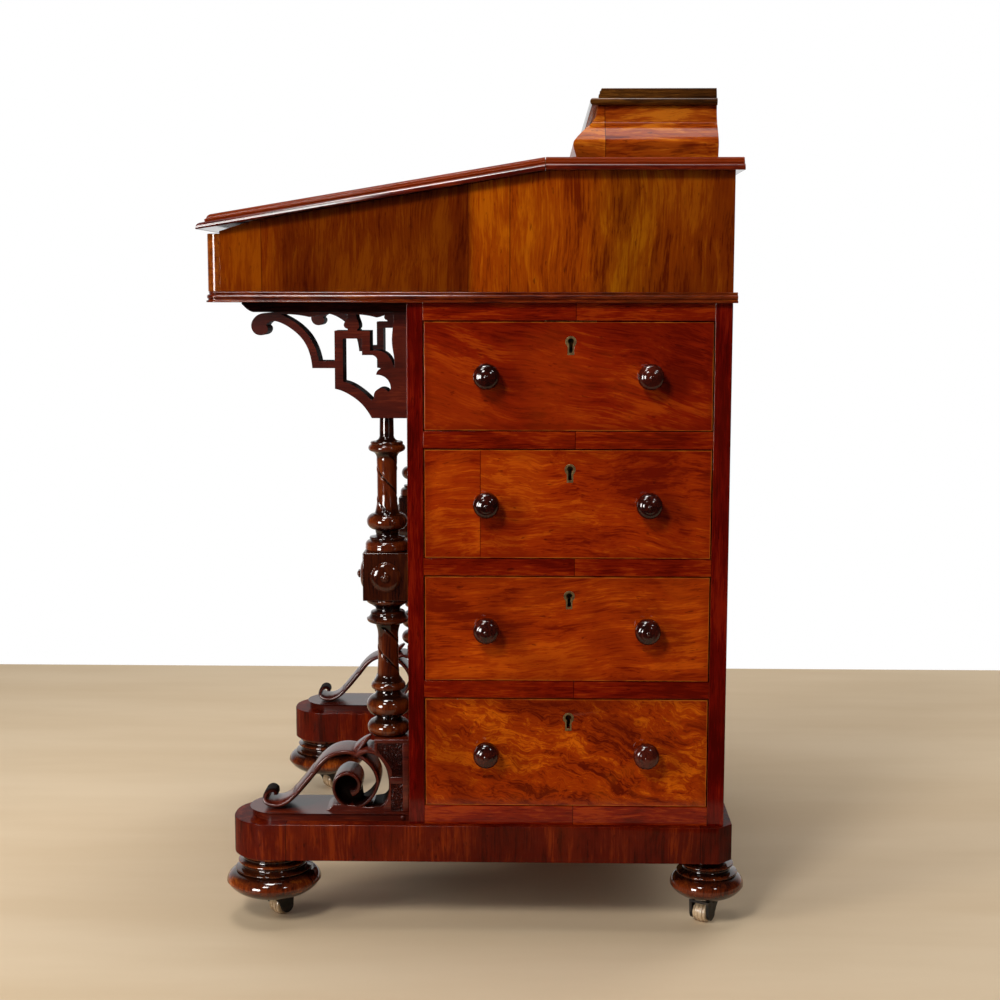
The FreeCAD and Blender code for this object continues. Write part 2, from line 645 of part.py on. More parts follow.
def build_moulding():
    """A half-round over a fillet along the front and the two sides of the box floor."""
    reach, height = s["moulding_reach"], s["floor_board"]
    front_y = box_front_y - s["moulding_front_reach"]
    back = back_y + reach * 0.6

    def section(edge, way):
        outline = Outline(edge - way * 40, case_top).line((edge + way * reach, case_top))
        outline.line((edge + way * reach, case_top + 2.4), (edge + way * (reach - 3), case_top + 2.6))
        outline.arc(edge + way * (reach - 3.4), case_top + height - 0.6, -2.0 * way)
        return outline.line((edge, box_floor_top), (edge - way * 40, box_floor_top)).close()

    side_right = prism("moulding_right", section(case_half, 1), ALONG, back - front_y, 0, back, 0)
    inner = board("floor_place", (-case_half, case_half), (front_y - 5, back + 5),
                  (case_top - 5, box_floor_top + 5))
    right = cut("moulding_side_right", side_right, [inner])
    seat_y = box_front_y + s["moulding_seat"]
    front = Outline(seat_y, case_top).line((seat_y, box_floor_top), (front_y + 3.2, box_floor_top))
    front.arc(front_y + 2.6, case_top + 2.6, -1.8).line((front_y, case_top + 2.4), (front_y, case_top))
    front_piece = prism("moulding_front", front.close(), ACROSS, 2 * case_half, -case_half)
    node("box_moulding", group("box_moulding", [right, mirrored("moulding_side_left", right), front_piece]))


# ---------------------------------------------------------------- moulded boards
def moulded_section(half, top):
    """A board's section across the desk: a rounded upper step over a bead, at both ends."""
    low, step = top - s["board_thickness"], top - s["upper_step"]
    inner = half - s["step_setback"]
    outline = Outline(-inner + 4, top).line((inner - 4, top)).arc(inner, step + 1.2, 1.5)
    outline.line((inner, step), (half - 3.5, step)).arc(half, low + 3.4, 0.9)
    outline.line((half, low + 2.8)).arc(half - 2.4, low, 0.8).line((-half + 2.4, low))
    outline.arc(-half, low + 2.8, 0.8).line((-half, low + 3.4)).arc(-half + 3.5, step, 0.9)
    return outline.line((-inner, step), (-inner, step + 1.2)).arc(-inner + 4, top, 1.5).close()


def build_top_board():
    """The fixed board behind the slope, moulded along its two ends."""
    back = back_y + s["top_back_overhang"]
    section = moulded_section(board_half, board_top)
    depth = s["top_board_depth"] - s["lid_gap"] / 2
    plain = prism("top_board_plain", section, ALONG, depth, 0, back, 0)
    node("top_board", cut("top_board", plain, slope_hinge_seats("top_seat", hinge_y + s["lid_gap"] / 2, 1)))


def hinge_axis_z():
    """Height of the slope hinges' pins, just over the joint."""
    return board_top + s["hinge_rise"]


def pair_places(half_spread):
    """The two places across the desk of a pair of hinges."""
    return -half_spread, half_spread


slope_hinge_x = board_half - s["hinge_end_setback"]
gallery_hinge_x = gallery_half - s["gallery_hinge_setback"]


def slope_hinge_seats(name, edge_y, way):
    """Shallow seats for the two butt hinges in an edge of the slope joint."""
    seats, half, clear = [], s["hinge_length"] / 2, s["knuckle_radius"] + s["body_gap"]
    faces = sorted((edge_y - way * 1.0, edge_y + way * s["leaf_thickness"]))
    for index, x in enumerate(pair_places(slope_hinge_x)):
        seats.append(board(f"{name}_{index}", (x - half, x + half), faces, (board_top - s["leaf_width"], board_top + 1)))
        seats.append(along_hinge(f"{name}_groove_{index}", clear, x, hinge_y, hinge_axis_z()))
    return seats


def lid_place(item):
    """Tilt a piece that was drawn level, with its top at the hinge line, to the slope."""
    turn = FreeCAD.Rotation(Vector(1, 0, 0), float(s["slope_angle"]))
    return place(item, 0.0, hinge_y, board_top, turn)


def build_slope_lid():
    """The sloping lid: a thumb-moulded board with a leather skiver let into its top."""
    half = board_half
    thick, upper = s["board_thickness"], s["upper_step"]
    run = hinge_y - box_front_y + s["lid_tip_reach"]
    length = (run + (thick - 4) * math.sin(slope)) / math.cos(slope)
    across = prism("lid_ends", moulded_section(half, 0.0), ALONG, length + 40, 0, 20, 0)
    rear_top = -(s["lid_gap"] / 2) * math.cos(slope)
    rear_low = rear_top - thick * math.tan(slope)
    side = Outline(rear_top, 0).line((-length + s["front_step_setback"] + 6, 0))
    side.arc(-length + s["front_step_setback"], -upper + 1.0, -1.6)
    side.line((-length + s["front_step_setback"], -upper), (-length + 5, -upper))
    side.arc(-length, -thick + 4, 0.9).line((-length, -thick + 3)).arc(-length + 2.2, -thick, 0.9)
    side.line((rear_low, -thick))
    along = prism("lid_front", side.close(), ACROSS, 2 * half + 2, -half - 1)
    blank = meet("lid_blank", across, along)
    border = s["skiver_border"]
    inner = (-half + border, half - border)
    reach = (-length + border + 8, -border)
    recess = board("skiver_recess", inner, reach, (-s["skiver_sink"], 5.0))
    leather = board("skiver", inner, reach, (-s["skiver_sink"], s["skiver_thickness"] - s["skiver_sink"]))
    lid = lid_place(cut("lid_recessed", blank, [recess]))
    seats = slope_hinge_seats("lid_seat", hinge_y - s["lid_gap"] / 2, -1)
    node("slope_board", cut("slope_board", lid, seats))
    node("slope_skiver", lid_place(group("skiver_sheet", [leather])))


# ---------------------------------------------------------------- hinges
# Shares of a hinge's length with the knuckles of each leaf, and those where it is cut away.
FIXED_SPANS, FIXED_GAPS = [(0.0, 0.33), (0.67, 1.0)], [(0.33, 0.67)]
MOVING_SPANS, MOVING_GAPS = [(0.337, 0.663)], [(0.0, 0.337), (0.663, 1.0)]


def along_hinge(name, radius, x, y, z, span=(0.0, 1.0)):
    """A rod along X over a share of a hinge's length."""
    length = s["hinge_length"]
    return rod(name, radius, (span[1] - span[0]) * length, x - length / 2 + span[0] * length, y, z, ACROSS)


def hinge_half(name, leaf, x, y, z, own, others, pin):
    """One half of a butt hinge: a leaf with its knuckles, holding the pin or bored to turn on it."""
    clear = s["knuckle_radius"] + s["body_gap"]
    gaps = [along_hinge(f"{name}_clear_{n}", clear, x, y, z, span) for n, span in enumerate(others)]
    tubes = [along_hinge(f"{name}_knuckle_{n}", s["knuckle_radius"], x, y, z, span)
             for n, span in enumerate(own)]
    leaf = cut(name + "_leaf", leaf, gaps)
    if pin:
        return join(name, [leaf, along_hinge(name + "_pin", s["hinge_pin"], x, y, z)] + tubes)
    bore = along_hinge(name + "_bore", s["hinge_pin"] + s["running_fit"], x, y, z)
    return cut(name, join(name + "_solid", [leaf] + tubes), [bore])


def slope_hinge(index, x):
    """A butt hinge with upright leaves, its knuckle just over the joint."""
    half, thick = s["hinge_length"] / 2, s["leaf_thickness"]
    y, z = hinge_y, hinge_axis_z()
    width = (x - half, x + half)
    height = (board_top - s["leaf_width"], board_top - s["hinge_rise"])
    near, far = hinge_y + s["lid_gap"] / 2, hinge_y - s["lid_gap"] / 2
    plate = board(f"slope_fixed_plate_{index}", width, (near, near + thick), height)
    fixed = hinge_half(f"slope_fixed_{index}", plate, x, y, z, FIXED_SPANS, FIXED_GAPS, True)
    plate = board(f"slope_moving_plate_{index}", width, (far - thick, far), height)
    moving = hinge_half(f"slope_moving_{index}", plate, x, y, z, MOVING_SPANS, MOVING_GAPS, False)
    return fixed, moving


def gallery_axis():
    """Place of the gallery lid's hinge pins, just behind the joint at the back."""
    return gallery_back_y + s["knuckle_radius"] - 0.8, gallery_top + s["body_gap"] / 2


def gallery_hinge(index, x):
    """A butt hinge with level leaves let into the back wall's top and the lid's underside."""
    half, thick = s["hinge_length"] / 2, s["leaf_thickness"]
    y, z = gallery_axis()
    width, depth = (x - half, x + half), (gallery_back_y - s["gallery_leaf"], gallery_back_y + 0.5)
    low = gallery_top + s["body_gap"]
    plate = board(f"gallery_fixed_plate_{index}", width, depth, (gallery_top - thick, gallery_top))
    fixed = hinge_half(f"gallery_fixed_{index}", plate, x, y, z, FIXED_SPANS, FIXED_GAPS, True)
    plate = board(f"gallery_moving_plate_{index}", width, depth, (low, low + thick))
    moving = hinge_half(f"gallery_moving_{index}", plate, x, y, z, MOVING_SPANS, MOVING_GAPS, False)
    return fixed, moving


def build_hinges():
    """Two butt hinges under each lid."""
    slope_pairs = [slope_hinge(index, x) for index, x in enumerate(pair_places(slope_hinge_x))]
    gallery_pairs = [gallery_hinge(index, x) for index, x in enumerate(pair_places(gallery_hinge_x))]
    fixed = [still for still, moving in slope_pairs + gallery_pairs]
    slope_leaves = [moving for still, moving in slope_pairs]
    gallery_leaves = [moving for still, moving in gallery_pairs]
    node("hinge_fixed_leaves", group("hinge_fixed_leaves", fixed))
    node("slope_hinge_leaves", group("slope_hinge_leaves", slope_leaves))
    node("gallery_hinge_leaves", group("gallery_hinge_leaves", gallery_leaves))


# ---------------------------------------------------------------- gallery
# The gallery's face from its top to its foot, as shares of its reach and of its height.
OGEE = [(0.0, 1.0), (0.036, 0.85), (0.226, 0.68), (0.524, 0.547), (0.863, 0.377), (1.0, 0.245), (0.863, 0.0)]


def ogee(outline, edge, way, down=True):
    """Follow the gallery's face down or up: upright, hollow, then swelling to the foot."""
    points = [(edge + way * s["ogee_reach"] * out, board_top + s["gallery_height"] * up) for out, up in OGEE]
    if not down:
        points.reverse()
    return outline.line(points[0]).curve(*points[1:])


def gallery_seats(name, low, high):
    """Seats for the level hinge leaves, and the clearance round the knuckles."""
    y, z = gallery_axis()
    seats, half, clear = [], s["hinge_length"] / 2, s["knuckle_radius"] + s["body_gap"]
    for index, x in enumerate(pair_places(gallery_hinge_x)):
        seats.append(board(f"{name}_{index}", (x - half, x + half),
                           (gallery_back_y - s["gallery_leaf"], gallery_back_y + 1), (low, high)))
        seats.append(along_hinge(f"{name}_groove_{index}", clear, x, y, z))
    return seats


def build_gallery():
    """Ogee front and ends with a plain back, and the stepped lid over them."""
    over, wall = s["gallery_lid_overhang"], s["gallery_wall"]
    half, face_y = gallery_half - over, gallery_front_y + over
    wide = ogee(ogee(Outline(0, gallery_top), half, 1), -half, -1, down=False)
    ends = prism("gallery_ends", wide.close(), ALONG, s["gallery_depth"] + 60, 0, gallery_back_y, 0)
    deep = ogee(Outline(gallery_back_y, gallery_top), face_y, -1).line((gallery_back_y, board_top))
    front = prism("gallery_faces", deep.close(), ACROSS, 2 * half + 80, -half - 40)
    block = meet("gallery_block", ends, front)
    cavity_y = (face_y + wall, gallery_back_y - wall)
    level = (board_top, gallery_top)
    span = (-half - 40, half + 40)
    side_span = (half - wall, half + 40)
    front_piece = meet("gallery_front", block, board("front_part", span, (face_y - 40, cavity_y[0]), level))
    block_two = meet("gallery_block_side", ends, front)
    right = meet("gallery_side_right", block_two, board("side_part", side_span, cavity_y, level))
    block_three = meet("gallery_block_back", ends, front)
    back_part = board("back_part", span, (cavity_y[1], gallery_back_y), level)
    back = meet("gallery_back_plain", block_three, back_part)
    seats = gallery_seats("wall_seat", gallery_top - s["leaf_thickness"], gallery_top + 1)
    node("gallery_walls", group("gallery_walls", [front_piece, right, mirrored("gallery_side_left", right),
                                                  cut("gallery_back", back, seats)]))
    build_gallery_lid(gallery_half)


def build_gallery_lid(half):
    """A slab over a wider rounded nosing, flush at the back."""
    low = gallery_top + s["body_gap"]
    nosing, top = low + s["gallery_lid_nosing"], low + s["gallery_lid_nosing"] + s["gallery_lid_slab"]
    r = s["gallery_lid_nosing"] / 2
    inner, y, slab_y = half - s["slab_setback"], gallery_front_y, gallery_front_y + s["slab_setback"]
    wide = Outline(-half + r, low).line((half - r, low)).arc(half - r, nosing, -r)
    wide.line((inner, nosing), (inner, nosing + 1.4)).arc(inner - 4, top, -1.6).line((-inner + 4, top))
    wide.arc(-inner, nosing + 1.4, -1.6).line((-inner, nosing), (-half + r, nosing)).arc(-half + r, low, -r)
    ends = prism("gallery_lid_ends", wide.close(), ALONG, s["gallery_depth"] + 40, 0, gallery_back_y, 0)
    deep = Outline(gallery_back_y, low).line((gallery_back_y, top), (slab_y + 4, top))
    deep.arc(slab_y, nosing + 1.4, -1.6).line((slab_y, nosing), (y + r, nosing)).arc(y + r, low, -r)
    front = prism("gallery_lid_faces", deep.close(), ACROSS, 2 * half + 60, -half - 30)
    seats = gallery_seats("lid_leaf_seat", low - 1, low + s["leaf_thickness"])
    node("gallery_lid", cut("gallery_lid", meet("gallery_lid_plain", ends, front), seats))


# ---------------------------------------------------------------- columns and brackets
def column_profile():
    """Half outline of the column from its foot on the base block to the bracket above.

    The upper collar keeps its distance from the top, the bulbs keep theirs from the foot and
    the rings beside the block keep theirs from the block, so the plain shafts take up a change.
    """
    top, mid = column_length(), block_level()
    upper, lower = mid + s["column_block_height"] / 2, mid - s["column_block_height"] / 2
    outline = Outline(0, top).line((7.4, top), (7.8, top - 18.5)).arc(13.6, top - 24.9, -1.8)
    outline.line((17.2, top - 26.1)).arc(18.2, top - 36.1, 2.2).line((13.8, top - 38.3))
    outline.arc(10.5, top - 55.5, -1.4).line((10.4, upper + 63)).arc(13.3, upper + 40.4, -0.9)
    outline.line((17.3, upper + 37.4)).arc(17.0, upper + 22.0, 5.2).line((12.4, upper + 18.9))
    outline.arc(13.0, upper + 15.6, -0.8).line((18.6, upper + 13.0), (18.9, upper + 11.6))
    outline.arc(23.4, upper + 3.4, 1.8).line((23.4, upper + 1.2), (20, upper - 1))
    outline.line((20, lower + 1), (23.2, lower - 1))
    outline.arc(14.4, lower - 9.6, 1.4).arc(13.2, lower - 13, -0.7).line((18.2, lower - 15))
    outline.arc(22.8, lower - 22, -1.2).arc(20.4, lower - 26.5, 1.2).line((13.3, lower - 29.2))
    outline.arc(10.9, lower - 45, -1.2).line((12.2, 64.0), (15.4, 58.6)).arc(15.6, 50.2, 3.0)
    outline.line((12.6, 48.4)).arc(16.8, 43, -0.9).arc(17.2, 22.4, 6.9).line((13.0, 20.6))
    outline.arc(16.4, 16.6, -0.6).arc(17.5, 0, 6.9).line((0, 0))
    return outline.close()


def column_foot():
    """Level of the column's foot, on the base block."""
    return plinth_top + s["slip_thickness"] + s["base_block_height"]


def column_length():
    """From the base block up to the fretted bracket."""
    return case_top - s["bearer_thickness"] - s["bracket_height"] - column_foot()


def block_level():
    """Height of the square block's middle above the column's foot."""
    return column_length() - 167.2


def boss(name, x, y, z, rotation):
    """A turned disc with a domed ring and a centre pip."""
    r, length = s["boss_radius"], s["boss_length"]
    outline = Outline(0, length).arc(2.2, length - 1.0, 0.5).line((2.8, length - 1.6))
    outline.arc(5.2, length - 2.2, 0.8).line((5.8, length - 3.2)).arc(r, 1.6, 1.6).line((r, 0), (0, 0))
    return place(turned(name, outline.close()), x, y, z, rotation)


def build_columns():
    """A turned column with a square block, and bosses on its outer and front faces."""
    column = turned("column_turning", column_profile())
    half = s["column_block"] / 2
    square = Outline(-half, -half).line((half, -half), (half, half), (-half, half)).close()
    tall = s["column_block_height"]
    add_pad(column, "column_square", square, tall, block_level() - tall / 2)
    place(column, column_x, column_y, column_foot())
    centre = column_foot() + block_level()
    outer = boss("boss_outer", column_x + half, column_y, centre, FreeCAD.Rotation(Vector(0, 1, 0), 90))
    front = boss("boss_front", column_x, column_y - half, centre, FreeCAD.Rotation(Vector(1, 0, 0), 90))
    right = node("column_right", group("column_right", [column, outer, front]))
    node("column_left", mirrored("column_left", right))


def fret_outer(y, z):
    """Edge of the fretted bracket: the scrolled arm, the link, the lower brace and the post."""
    outline = Outline(y(0), z(0)).line((y(-134), z(0)))
    outline.curve((y(-147.2), z(-0.8)), (y(-155.9), z(-3.0)), (y(-160.6), z(-7.3)), (y(-163.0), z(-13.3)),
                  (y(-162.1), z(-18.5)), (y(-158.9), z(-22.5)), (y(-153.6), z(-24.1)), (y(-148.9), z(-23.1)),
                  (y(-145.9), z(-19.8)), (y(-145.5), z(-16.8)), (y(-147.4), z(-13.9)))
    outline.curve((y(-144.2), z(-10.4)), (y(-140.0), z(-9.3)), (y(-134.8), z(-10.2)), (y(-126.8), z(-13.8)),
                  (y(-118.9), z(-19.1)), (y(-112.4), z(-25.0)), (y(-107.2), z(-32.0)), (y(-103.7), z(-39.4)),
                  (y(-101.4), z(-47.5)), (y(-99.9), z(-58.1)))
    outline.line((y(-76.5), z(-58.1)), (y(-76.5), z(-79.6)))
    outline.curve((y(-69.6), z(-81.5)), (y(-62.0), z(-85.2)), (y(-53.2), z(-91.2)), (y(-46.4), z(-97.8)),
                  (y(-41.9), z(-103.9)), (y(-38.3), z(-110.1)))
    return outline.line((y(0), z(-110.1))).close()


def fret_left_window(y, z):
    """Opening between the arm, the scalloped top strip, the drop and the upright bar."""
    outline = Outline(y(-131.4), z(-2.4)).arc(y(-102.3), z(-5.2), 1.0).arc(y(-63.4), z(-2.3), 1.8)
    outline.curve((y(-64.0), z(-7.6)), (y(-66.6), z(-12.6)), (y(-64.8), z(-16.6)))
    outline.line((y(-62.6), z(-17.4)), (y(-62.6), z(-19.2)), (y(-76.5), z(-19.2)), (y(-76.5), z(-50.7)),
                 (y(-92.7), z(-50.7)))
    outline.curve((y(-94.0), z(-44.8)), (y(-96.2), z(-37.8)), (y(-99.8), z(-30.0)), (y(-104.3), z(-22.9)),
                  (y(-109.8), z(-16.8)), (y(-116.4), z(-11.2)), (y(-124.1), z(-6.3)), (y(-131.4), z(-2.4)))
    return outline.close()


def fret_right_window(y, z):
    """Opening between the drop, the short leg, the leaf scroll and the post."""
    outline = Outline(y(-53.6), z(-2.4)).arc(y(-32.3), z(-5.6), 0.7).arc(y(-14.8), z(-2.4), 0.9)
    outline.curve((y(-15.2), z(-10)), (y(-16.2), z(-20)), (y(-16.8), z(-28.5)), (y(-16.0), z(-38)),
                  (y(-14.7), z(-46)), (y(-14.7), z(-57.5)))
    outline.curve((y(-15.9), z(-53.0)), (y(-18.3), z(-48.2)), (y(-22.2), z(-43.4)), (y(-28.4), z(-40.2)),
                  (y(-34.0), z(-39.4)), (y(-39.5), z(-40.2)))
    outline.line((y(-39.5), z(-19.2)), (y(-52.6), z(-19.2)), (y(-52.6), z(-17.4)), (y(-51.0), z(-16.6)))
    return outline.curve((y(-50.8), z(-12.6)), (y(-52.4), z(-7.6)), (y(-53.6), z(-2.4))).close()


def fret_lower_window(y, z):
    """Opening inside the frame: stepped on the left, scrolled on the right, over a half ball."""
    outline = Outline(y(-67.8), z(-27.4)).line((y(-48.0), z(-27.4)), (y(-48.0), z(-44.4)))
    outline.line((y(-38.4), z(-44.4)))
    outline.curve((y(-34.6), z(-45.6)), (y(-31.8), z(-49.2)), (y(-30.2), z(-54.4)), (y(-27.9), z(-58.1)))
    outline.curve((y(-31.6), z(-60.4)), (y(-33.4), z(-64.9)))
    outline.curve((y(-27.0), z(-65.9)), (y(-22.0), z(-69.3)), (y(-19.0), z(-74.4)), (y(-18.4), z(-80.6)))
    outline.line((y(-20.9), z(-82.4))).arc(y(-35.8), z(-89.4), -7.0).line((y(-38.3), z(-91.2)))
    outline.curve((y(-44.3), z(-85.3)), (y(-51.9), z(-79.3)), (y(-60.1), z(-74.5)), (y(-67.8), z(-72.0)))
    return outline.close()


def build_brackets():
    """Fretted brackets under the writing box, each hung from a bearer with a coved end."""
    base = case_top - s["bearer_thickness"]
    thick = s["bracket_thickness"]
    tall = float(s["bracket_height"]) / 110.1

    def y(value):
        return case_front_y + value * tall

    def z(value):
        return base + value * tall

    x = column_x - thick / 2
    plain = prism("fret_plain", fret_outer(y, z), ACROSS, thick, x)
    windows = [prism(f"fret_window_{index}", shape(y, z), ACROSS, thick + 2, x - 1)
               for index, shape in enumerate((fret_left_window, fret_right_window, fret_lower_window))]
    right = node("fret_bracket_right", cut("fret", plain, windows))
    node("fret_bracket_left", mirrored("fret_left", right))
    front = case_front_y - s["bearer_length"]
    bearer = Outline(case_front_y, base).line((case_front_y, case_top), (front, case_top))
    bearer.line((front, case_top - 2)).line((front + 1.6, case_top - 3)).arc(front + 11.5, base, -0.9)
    shape = prism("bearer", bearer.close(), ACROSS, s["bearer_width"], column_x - s["bearer_width"] / 2)
    node("top_bearers", group("top_bearers", [shape, mirrored("bearer_left", shape)]))


# ---------------------------------------------------------------- scroll feet
def ribbon(path, widths):
    """Outline of a ribbon along a path of points, with its half width at each point."""
    left, right = [], []
    for index, (x, y) in enumerate(path):
        ahead = path[min(index + 1, len(path) - 1)]
        behind = path[max(index - 1, 0)]
        run = math.hypot(ahead[0] - behind[0], ahead[1] - behind[1])
        nx, ny = -(ahead[1] - behind[1]) / run, (ahead[0] - behind[0]) / run
        half = widths[index]
        left.append((x + nx * half, y + ny * half))
        right.append((x - nx * half, y - ny * half))
    outline = Outline(*left[0]).curve(*left[1:]).line(right[-1])
    return outline.curve(*right[-2::-1]).close()


# The middle lines of the S scroll and of the C scroll, and the leaf's front and back edges.
ROLL = [(-148.2, 19.0), (-153.6, 19.2), (-158.0, 14.6), (-157.4, 8.0), (-151.6, 4.7), (-142.0, 4.2),
        (-132.0, 8.6), (-124.0, 16.0), (-115.0, 26.4), (-103.5, 40.6), (-93.4, 53.2), (-83.6, 60.4),
        (-72.0, 63.6), (-60.0, 62.2), (-48.4, 55.6), (-39.0, 45.0), (-35.1, 32.0), (-39.8, 17.4),
        (-50.4, 6.4), (-63.2, 3.4), (-75.0, 8.8), (-81.8, 21.6), (-79.6, 33.6), (-70.0, 40.2),
        (-60.0, 37.6), (-55.2, 29.6), (-57.6, 21.2), (-63.6, 18.2)]
SWEEP = [(-57.6, 59.4), (-51.4, 63.2), (-44.4, 64.7), (-33.4, 60.2), (-25.0, 48.4), (-21.4, 32.0),
         (-22.6, 16.4), (-29.4, 5.6), (-40.0, 2.6)]
LEAF = [(-60.0, 61.4), (-56.4, 67.6), (-51.0, 73.4), (-43.6, 77.8)]
LEAF_BACK = [(-44.4, 72.4), (-43.2, 68.6), (-43.6, 64.4)]


def build_scroll_feet():
    """A carved S scroll with its volute, a C scroll against a spandrel block, and a shaped slip.

    The paths run forward from the case and up from the slip's top. They stretch with the slip's
    length and the block's height.
    """
    base = plinth_top + s["slip_thickness"]
    t = s["ribbon"] / 2
    width = s["scroll_width"]
    x = column_x - width / 2
    stretch, rise = s["slip_length"] / 173.0, s["base_block_height"] / 79.5

    def point(y, z):
        return float(case_front_y + y * stretch), float(base + z * rise)

    roll, sweep = ([point(*place_on) for place_on in path] for path in (ROLL, SWEEP))
    s_scroll = prism("s_scroll", ribbon(roll, [t] * len(roll)), ACROSS, width, x)
    c_scroll = prism("c_scroll", ribbon(sweep, [t] * len(sweep)), ACROSS, width, x)
    leaf = Outline(*point(*LEAF[0])).curve(*(point(*tip) for tip in LEAF[1:]))
    leaf.curve(*(point(*tip) for tip in LEAF_BACK))
    leaf_width = width * 0.5
    tip = prism("leaf", leaf.close(), ACROSS, leaf_width, column_x - leaf_width / 2)
    block_width = s["base_block_width"]
    top_left = (float(case_front_y - s["base_block_depth"]), float(column_foot()))
    spandrel = Outline(case_front_y, base).line((case_front_y, column_foot()), top_left, point(-38.0, 62.6))
    spandrel.curve(*(point(*along) for along in SWEEP[3:7]), point(-28.0, 6.2))
    spandrel.line(point(-28.0, 0.0))
    block = prism("base_block", spandrel.close(), ACROSS, block_width, column_x - block_width / 2)
    ramp = Outline(*point(-94.0, 0)).arc(*point(-83.0, 6.5), -1.5).line(point(-70, 6.5), point(-45, 3.5))
    ramp.line(point(-20, 6.5), point(-20, 0))
    foot = prism("ramp", ramp.close(), ACROSS, width, x)
    scroll = join("scroll", [s_scroll, c_scroll, tip, block, foot])
    slip_half = s["slip_width"] / 2
    front = case_front_y - s["slip_length"]
    nose = slip_half * 0.8
    plan = Outline(column_x - slip_half, case_front_y).line((column_x - slip_half, front + nose))
    plan.arc(column_x + slip_half, front + nose, -nose).line((column_x + slip_half, case_front_y))
    slip = prism("slip", plan.close(), FLAT, s["slip_thickness"], 0, 0, plinth_top)
    right = node("scroll_bracket_right", group("scroll_foot", [scroll, slip]))
    node("scroll_bracket_left", mirrored("scroll_foot_left", right))


# ---------------------------------------------------------------- build, check and write
def check_and_write():
    """Stop on any failed feature or bad shape, then write one file for each piece."""
    doc.recompute()
    failed = [item.Name for item in doc.Objects if "Invalid" in item.State or "Error" in item.State]
    if failed:
        raise RuntimeError("failed features: " + ", ".join(failed))
    for name, item in nodes:
        shape = item.Shape
        if shape.isNull() or not shape.isValid() or not shape.Solids:
            raise RuntimeError("bad shape: " + name)
    os.makedirs("parts", exist_ok=True)
    for name, item in nodes:
        item.Shape.exportStep(f"parts/{name}.step")
        box = item.Shape.optimalBoundingBox()
        print(f"{name}: {len(item.Shape.Solids)} solids, {item.Shape.Volume / 1000:.1f} cm3, "
              f"x {box.XMin:.1f}..{box.XMax:.1f} y {box.YMin:.1f}..{box.YMax:.1f} "
              f"z {box.ZMin:.1f}..{box.ZMax:.1f}")


build_feet()
build_plinth()
build_case()
for drawer_index, drawer_number in enumerate((4, 3, 2, 1)):
    build_drawer(drawer_index, drawer_number)
build_dummy_fittings()
build_box()
build_moulding()
build_top_board()
build_slope_lid()
build_hinges()
build_gallery()
build_columns()
build_brackets()
build_scroll_feet()
check_and_write()
print(len(nodes), "nodes")
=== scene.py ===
# %% [markdown]
# # A davenport desk
# A davenport is a small writing desk: a sloping box stands on a case whose drawers open to
# the side. This one is veneered in walnut and French polished, with turned and carved legs.
# The solids of every piece are already there as a fixed frame. Here each piece gets the soft
# edges, the carving and the finish that the maker's hand gives it.

# %% Load the frame
import math

import bmesh
import bpy
import numpy as np
from mathutils import Matrix, Vector
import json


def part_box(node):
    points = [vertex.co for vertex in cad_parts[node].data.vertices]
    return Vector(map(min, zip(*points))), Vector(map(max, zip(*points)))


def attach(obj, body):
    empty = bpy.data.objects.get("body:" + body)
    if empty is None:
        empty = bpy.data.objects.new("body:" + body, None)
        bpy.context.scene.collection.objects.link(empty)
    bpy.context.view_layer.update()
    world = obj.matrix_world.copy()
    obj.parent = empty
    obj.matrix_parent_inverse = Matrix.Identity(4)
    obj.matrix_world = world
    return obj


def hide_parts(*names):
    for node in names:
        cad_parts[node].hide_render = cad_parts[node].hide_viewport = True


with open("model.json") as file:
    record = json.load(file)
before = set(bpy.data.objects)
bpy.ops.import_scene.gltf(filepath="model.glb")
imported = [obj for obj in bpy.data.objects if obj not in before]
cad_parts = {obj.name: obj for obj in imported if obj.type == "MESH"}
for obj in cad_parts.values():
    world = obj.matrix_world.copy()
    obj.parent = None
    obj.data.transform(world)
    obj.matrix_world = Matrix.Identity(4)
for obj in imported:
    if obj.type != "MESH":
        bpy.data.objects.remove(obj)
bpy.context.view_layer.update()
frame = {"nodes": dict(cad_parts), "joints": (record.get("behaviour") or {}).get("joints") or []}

# %% [markdown]
# ## Where the pieces meet
# The frame says where each solid lies, so the planes that the pieces share are read from it.
# Only the lid's gap and slope, the slips' thickness and the columns' blocks are given here.
# All lengths are metres; `MM` turns a size from the workshop into metres.

# %% Shared planes
MM = 0.001
LID_GAP, SLIP_THICK = 0.3, 8.5
BLOCK_HALF = np.array([24.3, 24.3, 25.5])
case_low, case_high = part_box("case_front_board")
case_half, case_face = case_high.x, case_low.y
plinth_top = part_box("plinth_side_right")[1].z
board_low, board_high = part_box("top_board")
hinge_y, board_top = board_low.y - LID_GAP * MM, board_high.z
column_low, column_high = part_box("column_right")
foot_z = column_low.z
column_y = case_face - BLOCK_HALF[1] * MM
column_x = (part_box("plinth_side_right")[0].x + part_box("plinth_side_right")[1].x) / 2
slope = math.radians(9.5)
print("case half", round(case_half, 4), "column at", round(column_x, 4), round(column_y, 4))

# %% [markdown]
# ## The workshop's tools
# Every new shape below is a net of points: rows and columns of a surface worked out as whole
# numpy arrays. `net` joins neighbouring points into four-sided faces, `tube` closes a stack of
# rings, `gather` puts several shells together, and `lay` makes a named piece of them that rides
# on its body.

# %% Nets of points
def net(rows, cols, closed=False):
    """Faces of a grid: point (r, c) joins (r, c+1), (r+1, c+1) and (r+1, c). closed joins each row's ends."""
    near = np.arange(rows - 1)[:, None] * cols
    c = np.arange(cols if closed else cols - 1)[None, :]
    c2 = (c + 1) % cols
    return np.stack([near + c, near + c2, near + cols + c2, near + cols + c], -1).reshape(-1, 4).tolist()


